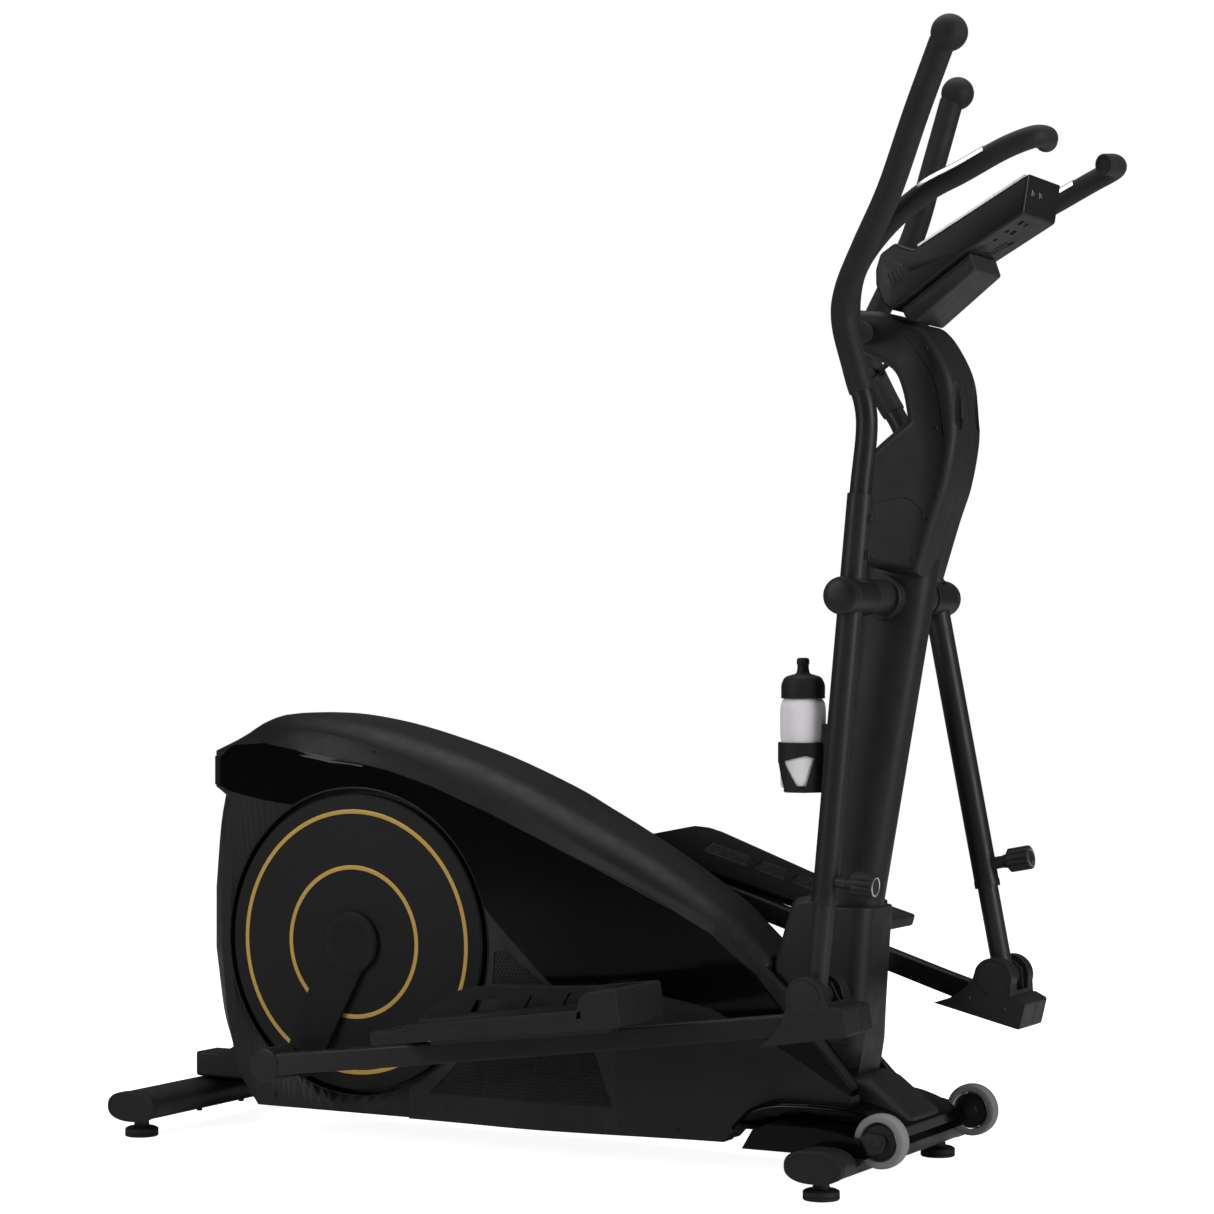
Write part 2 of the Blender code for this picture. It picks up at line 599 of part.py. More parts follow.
def housing():
    """The right half, and its mirror image on the left."""
    lowest, farthest, rear, past_seam = 0.0, 1.0, -0.45, 0.02
    middle = (0, 0, CRANK_Z)
    shell = add_object("right_shell", shell_skin(RIGHT), GLOSS, MACHINE)
    opening = disc("shell_opening", RECESS_RADIUS + 0.002, -0.1150, -0.16, GLOSS, MACHINE, "Y", middle, 32)
    bore, outside, rim, floor = 0.016, RECESS_RADIUS + SHELL_WALL, SHELL_HALF - 0.001, CUP_DEPTH + SHELL_WALL
    cup = [(bore, CUP_DEPTH), (outside, CUP_DEPTH), (outside, rim)]
    cup += [(RECESS_RADIUS, rim), (RECESS_RADIUS, floor), (bore, floor)]
    cup = turned("shell_cup", [(r, -y) for r, y in cup], GLOSS, MACHINE, "Y", middle, 32)
    slots = [
        box("beam_slot", (rear, -BEAM_ROOM, lowest), (farthest, past_seam, BEAM_CLEAR), GLOSS, MACHINE),
        box("saddle_slot", (rear, -0.0635, lowest), (-0.2235, past_seam, 0.1465), GLOSS, MACHINE),
        prism("mast_slot", offset(LOWER_COVER, -0.0015), -MAST_ROOM, past_seam, GLOSS, MACHINE),
        box("nose_slot", (0.6935, -MAST_ROOM, lowest), (farthest, past_seam, 0.2500), GLOSS, MACHINE),
    ]
    cut(shell, opening)
    weld(shell, cup)
    cut(shell, *slots)
    mirrored(shell, "left_shell")


# ---- mast ---------------------------------------------------------------------------------------
LOWER_COVER = (
    (0.735, 0.416), (0.770, 0.425), (0.790, 0.407), (0.864, 0.407),
    (0.850, 0.205), (0.840, 0.153), (0.700, 0.153), (0.696, 0.284),
)  # fmt: skip
UPPER_COVER = (
    (0.838, 0.925), (0.885, 0.911), (0.946, 0.901), (0.973, 0.985), (0.991, 1.036), (1.003, 1.096),
    (1.004, 1.138), (0.996, 1.198), (0.973, 1.246), (0.948, 1.275), (0.915, 1.284), (0.885, 1.298),
    (0.845, 1.303), (0.830, 1.285), (0.832, 1.252), (0.853, 1.237), (0.898, 1.212), (0.915, 1.180),
    (0.924, 1.135), (0.872, 1.095), (0.845, 1.060),
)  # fmt: skip
HANDLEBAR_CENTRE = (0.858, 0, 1.268)
LOWER_COVER_HALF = 0.0585
MAST_ROOM = 0.0600
MAST_HALF = (0.047, 0.062, 0.040)
MAST_FULL = 0.8
MAST_STEPS = 20


def mast_rings(shares, growth=0.0):
    """Oval sections of the column at these shares of its height."""
    foot, top = Vector((MAST_FOOT[0], 0, MAST_FOOT[1])), Vector((MAST_TOP[0], 0, MAST_TOP[1]))
    slim, wide, across = MAST_HALF
    rings = []
    for t in shares:
        half_x = slim + (wide - slim) * min(1.0, t / MAST_FULL) + growth
        loop = []
        for k in range(MAST_STEPS):
            angle = 2 * math.pi * k / MAST_STEPS
            shift = Vector((half_x * math.cos(angle), (across + growth) * math.sin(angle), 0))
            loop.append(foot.lerp(top, t) + shift)
        rings.append(loop)
    return rings


def mast():
    """The column with its cross tube and neck, the pivot shaft, and the covers at its foot and top."""
    rings = mast_rings((0.0, 0.35, MAST_FULL, 1.0))
    inside = []
    for loop in rings:
        centre = centre_point(loop)
        inside.append([centre.lerp(p, 1 - MAST_WALL / (p - centre).length) for p in loop])
    top_wall = Vector((0, 0, 0.004))
    inside[-1] = [p - top_wall for p in inside[-1]]
    column = add_object("mast", skin(inside[::-1] + rings), PAINT, MACHINE)
    hub = (HUB_X, 0, HUB_Z)
    cross = disc("mast_cross_tube", 0.0265, -0.1080, 0.1080, PAINT, MACHINE, "Y", hub, 20)
    collars = [
        disc(f"{side}_cross_collar", 0.0335, sign * 0.020, sign * 0.0560, PAINT, MACHINE, "Y", hub, 20)
        for side, sign in SIDES.items()
    ]
    neck_path = [(0.912, 0, 1.000), (0.962, 0, 1.100), (0.958, 0, 1.195), (0.915, 0, 1.262), HANDLEBAR_CENTRE]
    neck = pipe("mast_neck", rounded(neck_path, 0.05), 0.018, PAINT, MACHINE, steps=12)
    weld(column, cross, *collars, neck)
    shaft_bore = disc("shaft_bore", 0.0122, -0.13, 0.13, PAINT, MACHINE, "Y", hub, 24)
    bar_bore = disc("handlebar_bore", 0.0168, -0.05, 0.05, PAINT, MACHINE, "Y", HANDLEBAR_CENTRE, 24)
    cut(column, shaft_bore, bar_bore)
    disc("pivot_shaft", 0.0118, -0.1945, 0.1945, STEEL, MACHINE, "Y", hub, 24)
    half, open_below = LOWER_COVER_HALF, 0.16
    lower = prism("mast_lower_cover", LOWER_COVER, -half, half, MATTE, MACHINE, 0.014, 2)
    sleeve = add_object("sleeve_hollow", skin(grown(rings, 0.0012)), MATTE, MACHINE)
    inset = [(x, z - 0.02 if z < open_below else z) for x, z in offset(LOWER_COVER, COVER_WALL)]
    room = prism("cover_room", inset, COVER_WALL - half, half - COVER_WALL, MATTE, MACHINE, 0.011, 2)
    cut(lower, sleeve, room)
    for side, sign in SIDES.items():
        half = upper_cover_rings(sign, 0.0)
        cover = add_object(side + "_upper_cover", skin(half), MATTE, MACHINE)
        hollow = add_object(side + "_cover_hollow", skin(upper_cover_rings(sign, COVER_WALL)), MATTE, MACHINE)
        clear = add_object(side + "_cover_clear", skin(grown(rings, 0.0012)), MATTE, MACHINE)
        low, high = sign * 0.02, sign * 0.09
        hole = disc(side + "_bar_hole", 0.0180, low, high, MATTE, MACHINE, "Y", HANDLEBAR_CENTRE, 24)
        cut(cover, hollow, clear, hole)


def centre_point(loop):
    return sum(loop, Vector()) / len(loop)


def grown(rings, distance):
    """Rings pushed out by distance, and past both ends."""
    out = []
    for i, loop in enumerate(rings):
        centre = centre_point(loop)
        shift = Vector((0, 0, -0.01 if i == 0 else 0.01 if i == len(rings) - 1 else 0))
        out.append([p + (p - centre).normalized() * distance + shift for p in loop])
    return out


def upper_cover_rings(sign, inset):
    """Rings from the seam outwards; an inset hollow starts past the seam, so that it opens there."""
    past_seam = -0.01
    rings = []
    for y, trim in ((0.0004, 0.0), (0.040, 0.0), (0.052, 0.005), (0.0555, 0.012)):
        depth = past_seam if inset and not rings else y - inset
        moved = offset(UPPER_COVER, trim + inset)
        rings.append([Vector((x, sign * depth, z)) for x, z in moved])
    return rings


def front_cover():
    """The sculpted cover over the front stabiliser, at the foot of the mast."""
    crest, slope_start, slope = 0.1195, 0.870, 0.35
    ridge = [
        (0.668, 0.0755), (0.700, 0.1065), (0.735, 0.1190), (0.800, 0.1195), (0.845, 0.1505),
        (0.870, 0.1505), (0.906, 0.124), (0.935, 0.100), (0.935, 0.0755),
    ]  # fmt: skip
    flank = [(x, min(z, crest - slope * max(0.0, x - slope_start))) for x, z in ridge]
    right = [(-0.128, flank, 0.010), (-0.120, flank, 0.0), (-0.060, flank, 0.0), (-0.042, ridge, 0.0)]
    left = [(-y, points, trim) for y, points, trim in reversed(right)]
    rings = []
    for y, points, trim in right + left:
        moved = offset(points, trim) if trim else points
        rings.append([Vector((x, y, z)) for x, z in moved])
    cover = add_object("front_base_cover", skin(rings), GLOSS, MACHINE)
    tunnel = box("beam_tunnel", (0.60, -BEAM_ROOM, 0.05), (0.893, BEAM_ROOM, BEAM_CLEAR), GLOSS, MACHINE)
    mast_hole = box("mast_hole", (0.60, -0.0605, 0.05), (0.8445, 0.0605, 0.20), GLOSS, MACHINE)
    axis = [(STABILIZER_FRONT_X, y, STABILIZER_Z) for y in (-0.2, 0.2)]
    room_size = (OVAL[0] + 0.0012, OVAL[1] + 0.0025)
    tube_room = pipe("tube_room", axis, room_size, GLOSS, MACHINE, 0, (1, 0, 0), 20)
    underside = box("cover_underside", (0.705, -0.117, 0.050), (0.930, 0.117, 0.0935), GLOSS, MACHINE)
    cut(cover, underside, tunnel, mast_hole, tube_room)


# ---- swing arms ---------------------------------------------------------------------------------
# Handle centre line above the pivot: forward, outward from the arm's plane, up.
HANDLE = (
    (0.000, 0.000, 0.040), (0.000, 0.000, 0.155), (0.000, 0.000, 0.258), (-0.022, 0.003, 0.325),
    (-0.043, 0.014, 0.395), (-0.036, 0.030, 0.442), (-0.003, 0.056, 0.503), (0.043, 0.086, 0.584),
    (0.086, 0.115, 0.690), (0.126, 0.138, 0.786),
)  # fmt: skip
PIN_W = -0.4176
TUBE_OUT, TUBE_IN = 0.0190, 0.0165
BALL = (0.1370, 0.1420, 0.7970)
GRIP_START = 3
HANDLE_RADIUS = 0.0160
FOAM_RADIUS = 0.0188
HANDLE_STEPS = 12
TUBE_WALL = 0.0020


def smooth_path(points, steps=2):
    """A Catmull-Rom curve through the points."""
    points = [Vector(p) for p in points]
    ends = [points[0] * 2 - points[1]] + points + [points[-1] * 2 - points[-2]]
    path = []
    for a, b, c, d in zip(ends, ends[1:], ends[2:], ends[3:]):
        for k in range(steps):
            t = k / steps
            bend = (2 * a - 5 * b + 4 * c - d) * t**2 + (3 * b - a - 3 * c + d) * t**3
            path.append(0.5 * (2 * b + (c - a) * t + bend))
    path.append(points[-1])
    return path


def swing_arm(side, sign):
    """The arm on its hub, with the adjusting knob, the inner tube and the handle."""
    lean = LINKS[side][0]
    hub_axis = axis_empty(side + "_swing_axis", HUB_X, 0, HUB_Z, lean, MACHINE)
    y, pin_centre = sign * ARM_Y, (0, sign * ARM_Y, PIN_W)
    arm = ring(side + "_swing_arm", 0.0280, 0.0122, sign * 0.1112, sign * 0.1950, PAINT, hub_axis)
    dome = [(0, 0.1948), (0.0280, 0.1948), (0.0265, 0.1995), (0.018, 0.2020), (0, 0.2030)]
    cap = turned(side + "_hub_cap", [(r, sign * h) for r, h in dome], PAINT, hub_axis, steps=24)
    wall = TUBE_OUT - TUBE_IN
    lower = pipe(side + "_lower_tube", [(0, y, -0.018), (0, y, -0.452)], TUBE_OUT, PAINT, hub_axis, wall)
    upper = pipe(side + "_upper_sleeve", [(0, y, 0.018), (0, y, 0.150)], TUBE_OUT, PAINT, hub_axis, wall)
    nut = disc(side + "_pin_boss", 0.0095, 0.0175, 0.0340, PAINT, hub_axis, "X", pin_centre, 16)
    weld(arm, lower, upper, nut, cap)
    cut(arm, disc(side + "_pin_hole", 0.0045, 0.010, 0.060, PAINT, hub_axis, "X", pin_centre, 12))
    knob_axis = axis_empty(side + "_knob_axis", 0, y, PIN_W, 0, hub_axis)
    pin = disc(side + "_adjust_knob", 0.0040, 0.0170, 0.0400, RUBBER, knob_axis, "X", steps=12)
    weld(pin, fluted_knob(side + "_knob_grip", 0.0185, 0.0344, 0.0790, knob_axis))
    inner_axis = axis_empty(side + "_inner_axis", 0, y, 0, 0, hub_axis)
    inner_path, pivot = [(0, 0, -0.250), (0, 0, 0.012 - ROCKER)], (0, 0, -ROCKER)
    inner = pipe(side + "_inner_tube", inner_path, 0.0158, PAINT, inner_axis, 0.0025)
    eye = disc(side + "_inner_eye", 0.0200, -0.0160, 0.0160, PAINT, inner_axis, "Y", pivot, 24)
    weld(inner, eye)
    cut(inner, disc(side + "_eye_bore", 0.0064, -0.03, 0.03, PAINT, inner_axis, "Y", pivot, 16))
    handle(side, sign, hub_axis)


def fluted_knob(name, radius, low, high, parent):
    """A knob along X with flutes round its rim."""
    steps, flute_every, flute_scale = 32, 4, 0.90
    stations = ((low, 0.55), (low + 0.008, 0.62), (low + 0.012, 1.0), (high - 0.003, 1.0), (high, 0.9))
    rings = []
    for along, scale in stations:
        loop = []
        for k in range(steps):
            depth = flute_scale if k % flute_every == 0 and scale == 1.0 else 1.0
            angle = 2 * math.pi * k / steps
            r = radius * scale * depth
            loop.append(Vector((along, r * math.cos(angle), r * math.sin(angle))))
        rings.append(loop)
    return add_object(name, skin(rings), RUBBER, parent)


def handle(side, sign, hub_axis):
    """The upper lever, and a foam grip on it that ends in a ball."""
    path = smooth_path([(u, sign * (ARM_Y + out), w) for u, out, w in HANDLE])
    pipe(side + "_handle_tube", path, HANDLE_RADIUS, PAINT, hub_axis, TUBE_WALL, (0, 1, 0), HANDLE_STEPS)
    first = GRIP_START * 2 - 1
    outer = sweep_rings(path, (FOAM_RADIUS, FOAM_RADIUS), (0, 1, 0), HANDLE_STEPS)[first:-1]
    path[-1] = path[-1] + (path[-1] - path[-2]).normalized() * GAP
    bore = HANDLE_RADIUS + GAP
    inner = sweep_rings(path, (bore, bore), (0, 1, 0), HANDLE_STEPS)[first:]
    ball = Vector((BALL[0], sign * (ARM_Y + BALL[1]), BALL[2]))
    along = (ball - path[-1]).normalized()
    across = (Vector((0, 1, 0)) - along * along.y).normalized()
    up = along.cross(across)
    for degrees in (46, 67, 90, 113, 136, 160):
        reach = BALL_RADIUS * math.sin(math.radians(degrees))
        centre = ball - along * BALL_RADIUS * math.cos(math.radians(degrees))
        loop = []
        for k in range(HANDLE_STEPS):
            angle = 2 * math.pi * k / HANDLE_STEPS
            loop.append(centre + (across * math.cos(angle) + up * math.sin(angle)) * reach)
        outer.append(loop)
    add_object(side + "_grip", skin(inner[::-1] + outer), FOAM, hub_axis)


# ---- pedal bars ---------------------------------------------------------------------------------
BAR_HALF = (0.0125, 0.0170)
BAR_DROP = 0.0405
BAR_Y = 0.235
TREAD_Y, TREAD_DROP = 0.2680, 0.0313  # the tread's own frame, below the bar's pivot line


def bar_rings(route, wall):
    """Upright rectangular sections along the bar, smaller by the wall."""
    height = Vector((0, 0, BAR_HALF[1] - wall))
    rings = []
    for i, point in enumerate(route):
        ahead = route[min(i + 1, len(route) - 1)] - route[max(i - 1, 0)]
        across = Vector((-ahead.y, ahead.x, 0)).normalized() * (BAR_HALF[0] - wall)
        corners = (-across - height, across - height, across + height, height - across)
        rings.append([point + corner for corner in corners])
    return rings


def pedal_bar(side, sign):
    """Local +X runs from the crank pin to the front pivot, which is the origin."""
    _, rise, front = LINKS[side]
    axis = axis_empty(side + "_pedal_axis", front.x, 0, front.y, rise, MACHINE)
    outer_y, crank_pin = sign * BAR_Y, (-COUPLER, 0, 0)
    corners = [(-COUPLER, outer_y, 0), (-0.700, outer_y, -0.0101), (-0.060, sign * ARM_Y, -0.0379)]
    corners.append((0.030, sign * ARM_Y, -BAR_DROP))
    route = rounded(corners, 0.05, 3)
    surfaces = bar_rings(route, 0.0) + bar_rings(route, TUBE_WALL)[::-1]
    bar = add_object(side + "_pedal_bar", skin(surfaces, True), PAINT, axis, smooth=False)
    low, high = sign * 0.1900, sign * 0.2505
    hub = disc(side + "_bar_hub", 0.0265, low, high, PAINT, axis, "Y", crank_pin, 28, 0.002)
    bore = disc(side + "_hub_bore", 0.0075, sign * 0.1880, sign * 0.2400, PAINT, axis, "Y", crank_pin, 12)
    ear_shift, ear_half, ear_rear, ear_front, ear_low = 0.0195, 0.0030, -0.045, 0.030, -0.055
    ear_outline = [
        (ear_rear, ear_low), (ear_front, ear_low), (ear_front, -0.020), (0.018, 0.016),
        (0.0, 0.024), (-0.018, 0.016), (ear_rear, -0.025),
    ]  # fmt: skip
    tools = [hub]
    for name, y in (("inner", ARM_Y - ear_shift), ("outer", ARM_Y + ear_shift)):
        low, high = sign * (y - ear_half), sign * (y + ear_half)
        tools.append(prism(f"{side}_{name}_ear", ear_outline, low, high, PAINT, axis))
    low = (ear_rear, sign * ARM_Y - ear_shift, ear_low)
    high = (ear_front, sign * ARM_Y + ear_shift, -0.0245)
    tools.append(box(side + "_ear_block", low, high, PAINT, axis))
    near, far = sign * (ARM_Y - 0.021), sign * (ARM_Y + 0.021)
    tools.append(disc(side + "_front_pin", 0.0060, near, far, PAINT, axis, "Y", steps=16))
    tilt = axis_empty(side + "_footplate_axis", 0, sign * TREAD_Y, -TREAD_DROP, -2.5, axis)
    near, far = sorted((sign * (BAR_Y - TREAD_Y - 0.010), sign * (BAR_Y - TREAD_Y + 0.010)))
    low, high = (-0.620, near, 0.0040), (-0.300, far, BAR_HALF[1])
    tools.append(box(side + "_foot_bracket", low, high, PAINT, tilt))
    weld(bar, *tools)
    drain = disc(side + "_drain_hole", 0.004, -0.040, -0.012, PAINT, axis, "Z", (-0.800, outer_y, 0), 10)
    cut(bar, bore, drain)
    clevis_cover(side, sign, axis)
    footplate(side, sign, tilt)


def clevis_cover(side, sign, axis):
    """Two-part cover over the front pivot, joined in front of the bar's end."""
    radius, join_gap, reach, room_half = 0.031, 0.0002, 0.020, 0.0232
    outline = [(-0.084, -0.063), (-0.060, -0.048), (-0.030, -0.012)]
    angles = [math.radians(160 - 20 * k) for k in range(9)]
    outline += [(radius * math.cos(a), radius * math.sin(a)) for a in angles]
    outline += [(0.036, -0.018), (0.058, -0.022), (0.060, -0.062)]
    for name, way, outer in (("inner", -1, 0.1085), ("outer", 1, 0.2025)):
        inner = ARM_Y + way * join_gap
        cover = prism(f"{side}_{name}_clevis_cover", outline, sign * inner, sign * outer, MATTE, axis)
        low, high = sorted((sign * (inner - way * reach), sign * (ARM_Y + way * room_half)))
        cut(cover, box(f"{side}_{name}_cover_room", (-0.12, low, -0.0585), (0.0335, high, 0.05), MATTE, axis))


def footplate(side, sign, tilt):
    """Tread with a raised toe and a slotted inner wall, lying along the bar."""
    rear, front, inner, outer = -0.672, -0.235, sign * -0.070, sign * 0.073
    low = BAR_HALF[1] + GAP
    top = low + 0.020
    sunk, wall, near, far = top - 0.006, sign * 0.007, min(inner, outer), max(inner, outer)
    plate = box(side + "_footplate", (rear, near, low), (front, far, top), RUBBER, tilt, 0.004)
    wall_outline = [
        (rear + 0.004, sunk), (rear + 0.004, top + 0.006), (rear + 0.085, top + 0.045),
        (rear + 0.130, top + 0.048), (rear + 0.300, top + 0.036), (front, top + 0.037), (front, sunk),
    ]  # fmt: skip
    inner_wall = prism(side + "_foot_wall", wall_outline, inner, inner + wall, RUBBER, tilt)
    slot_outline = [
        (rear + 0.105, top + 0.010), (rear + 0.125, top + 0.030),
        (rear + 0.300, top + 0.030), (rear + 0.320, top + 0.012),
    ]  # fmt: skip
    slot = prism(side + "_foot_slot", slot_outline, inner - 0.02, inner + 0.02, RUBBER, tilt)
    toe_outline = [
        (front - 0.075, sunk), (front - 0.060, top + 0.031), (front - 0.050, top + 0.0355),
        (front, top + 0.037), (front, sunk),
    ]  # fmt: skip
    toe_box = prism(side + "_foot_toe", toe_outline, inner + sign * 0.001, outer, RUBBER, tilt)
    room_rear, room_front = front - 0.12, front - 0.010
    room_outline = [(room_rear, top), (room_rear, top + 0.06), (room_front, top + 0.06), (room_front, top)]
    toe_room = prism(side + "_toe_room", room_outline, inner + wall, outer - sign * 0.010, RUBBER, tilt)
    cut(inner_wall, slot)
    cut(toe_box, toe_room)
    weld(plate, inner_wall, toe_box)


# ---- head: fixed handlebar, console, bottle ------------------------------------------------------
BAR_ROUTE = (
    (0.858, 0.000, 1.268), (0.858, 0.070, 1.268), (0.862, 0.115, 1.285), (0.892, 0.162, 1.345),
    (0.945, 0.184, 1.400), (1.010, 0.186, 1.449), (1.070, 0.185, 1.476), (1.130, 0.183, 1.504),
    (1.170, 0.172, 1.519), (1.180, 0.145, 1.522), (1.172, 0.122, 1.520),
)  # fmt: skip


def fixed_handlebar():
    """One bar across the machine that rises forward on both sides and turns in at its ends."""
    half = smooth_path(BAR_ROUTE)
    other = [Vector((p.x, -p.y, p.z)) for p in half[1:]]
    pipe("fixed_handlebar", other[::-1] + half, 0.0162, FOAM, MACHINE, 0, (0, 0, 1), 10)


CONSOLE_AXIS = (1.027, 1.432)
CONSOLE_SLOPE = 28.7
CONSOLE_HALF = 0.066
BOTTLE_X, BOTTLE_Z = 0.732, 0.580
CONSOLE_OUTLINE = (
    (0.112, 0.000), (0.076, -0.047), (-0.030, -0.047), (-0.150, -0.0595), (-0.172, -0.0595),
    (-0.1775, -0.042), (-0.173, -0.013), (-0.163, 0.006), (-0.145, 0.023), (-0.117, 0.025),
    (-0.106, 0.010), (-0.096, 0.000),
)  # fmt: skip
BRACKET_OUTLINE = (
    (-0.026, -0.0475), (-0.0305, -0.0745), (-0.149, -0.0935), (-0.1605, -0.0780),
    (-0.160, -0.0600), (-0.150, -0.0600), (-0.030, -0.0475),
)  # fmt: skip


def console():
    """The slab leans back to face the user; its bracket rises from the mast's neck."""
    x, z = CONSOLE_AXIS
    place = axis_empty("console_axis", x, 0, z, CONSOLE_SLOPE, MACHINE)
    slab = prism("console", CONSOLE_OUTLINE, -CONSOLE_HALF, CONSOLE_HALF, SCREEN, place, 0.004, 1)
    window = box("console_window", (-0.078, -0.054, -0.0015), (0.096, 0.054, 0.01), SCREEN, place)
    cut(slab, window)
    prism("console_bracket", BRACKET_OUTLINE, -0.052, 0.052, MATTE, place, 0.003, 1)


def bottle():
    """A drinking bottle with its cap, standing in a cage on the mast's rear."""
    axis = axis_empty("bottle_axis", BOTTLE_X, 0, BOTTLE_Z, 0, MACHINE)
    body = [
        (0, 0.001), (0.0300, 0.001), (0.0345, 0.006), (0.0350, 0.045), (0.0335, 0.062), (0.0335, 0.070),
        (0.0350, 0.085), (0.0350, 0.120), (0.0325, 0.134), (0.0290, 0.138), (0.0290, 0.150), (0, 0.150),
    ]  # fmt: skip
    turned("water_bottle", body, BOTTLE, axis, "Z", steps=20)
    cap = [
        (0, 0.1503), (0.0293, 0.1503), (0.0293, 0.1385), (0.0335, 0.1385), (0.0335, 0.158), (0.0300, 0.170),
        (0.0110, 0.178), (0.0090, 0.186), (0.0090, 0.199), (0, 0.201),
    ]  # fmt: skip
    turned("bottle_cap", cap, RUBBER, axis, "Z", steps=20)
    cage_out, cage_in, base_low, base_high = 0.0385, 0.0356, -0.004, 0.0005
    cage = ring("bottle_cage", cage_out, cage_in, 0.045, 0.072, RUBBER, axis, "Z", steps=20)
    tools = [
        disc("cage_base", 0.0300, base_low, base_high, RUBBER, axis, "Z", steps=24),
        box("cage_spine", (0.0357, -0.009, base_low), (0.0420, 0.009, 0.100), RUBBER, axis),
        box("cage_floor", (0.0, -0.009, base_low), (0.0420, 0.009, base_high), RUBBER, axis),
    ]
    arm_outline = [(0.020, base_low), (0.030, base_low), (0.006, 0.050), (-0.012, 0.058), (-0.006, 0.046)]
    for side, sign in SIDES.items():
        near, far = sorted((0, sign * cage_out))
        tools.append(prism(side + "_cage_arm", arm_outline, sign * cage_in, sign * cage_out, RUBBER, axis))
        tools.append(box(side + "_cage_foot", (0.018, near, base_low), (0.030, far, base_high), RUBBER, axis))
    mount_outline = [(0.040, 0.010), (0.0655, 0.010), (0.0790, 0.080), (0.040, 0.080)]
    tools.append(prism("cage_mount", mount_outline, -0.008, 0.008, RUBBER, axis))
    weld(cage, *tools)
    clear = skin(mast_rings((0.3, MAST_FULL), 0.0006))
    cut(cage, add_object("mast_clearance", clear, RUBBER, MACHINE))


floor_frame()
transport_wheels()
drive()
housing()
mast()
front_cover()
for side_name, side_sign in SIDES.items():
    swing_arm(side_name, side_sign)
    pedal_bar(side_name, side_sign)
fixed_handlebar()
console()
bottle()
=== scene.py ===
import json
import math

import bmesh
import bpy
from mathutils import Matrix, Vector


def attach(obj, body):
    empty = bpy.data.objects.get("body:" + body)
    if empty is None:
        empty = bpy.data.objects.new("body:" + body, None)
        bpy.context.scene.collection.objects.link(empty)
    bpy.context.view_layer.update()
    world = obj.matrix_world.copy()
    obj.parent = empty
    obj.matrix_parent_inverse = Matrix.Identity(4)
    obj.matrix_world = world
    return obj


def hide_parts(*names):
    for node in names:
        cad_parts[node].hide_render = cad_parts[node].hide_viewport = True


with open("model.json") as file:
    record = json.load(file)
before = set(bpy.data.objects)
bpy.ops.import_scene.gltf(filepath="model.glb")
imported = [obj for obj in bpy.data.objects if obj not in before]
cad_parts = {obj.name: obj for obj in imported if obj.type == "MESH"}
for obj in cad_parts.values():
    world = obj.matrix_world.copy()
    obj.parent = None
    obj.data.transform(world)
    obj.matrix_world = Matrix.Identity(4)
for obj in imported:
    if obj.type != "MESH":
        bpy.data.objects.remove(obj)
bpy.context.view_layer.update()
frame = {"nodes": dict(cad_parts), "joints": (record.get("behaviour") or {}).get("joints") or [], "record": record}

# ---- places: lengths along X are counted from the crank axis, as in the solids --------------------
CRANK_X = -0.3975
MACHINE = Matrix.Translation((CRANK_X, 0.0, 0.0))
SIDES = {"right": -1, "left": 1}
JOINT = {joint["name"]: joint for joint in frame["joints"]}
CRANK_Z = JOINT["crank_spin"]["pos_m"][2]
CRANK_THROW = 0.2105
CRANK_DEGREES = {"right": -115.9, "left": 64.1}
COUPLER = 0.931
ROCKER = 0.589
ARM_Y = 0.158
SHELL_HALF = 0.125
NOSE_HALF = 0.088
DISC_RADIUS = 0.237
RECESS_RADIUS = 0.245


def turned_frame(x, z, degrees):
    return Matrix.Translation((x, 0.0, z)) @ Matrix.Rotation(-math.radians(degrees), 4, "Y")


SWING, PEDAL, TREAD, CRANK = {}, {}, {}, {}
for side, sign in SIDES.items():
    down = JOINT[side + "_length_adjust"]["axis"]
    hub = JOINT[side + "_swing"]["pos_m"]
    SWING[side] = turned_frame(hub[0], hub[2], math.degrees(math.atan2(down[0], -down[2])))
    front = JOINT[side + "_pedal_pivot"]["pos_m"]
    turn = math.radians(CRANK_DEGREES[side])
    pin = (CRANK_X + CRANK_THROW * math.cos(turn), CRANK_Z + CRANK_THROW * math.sin(turn))
    rise = math.degrees(math.atan2(front[2] - pin[1], front[0] - pin[0]))
    PEDAL[side] = turned_frame(front[0], front[2], rise)
    TREAD[side] = PEDAL[side] @ Matrix.Translation((0, sign * 0.2680, -0.0313)) @ Matrix.Rotation(math.radians(2.5), 4, "Y")
    CRANK[side] = turned_frame(CRANK_X, CRANK_Z, CRANK_DEGREES[side])


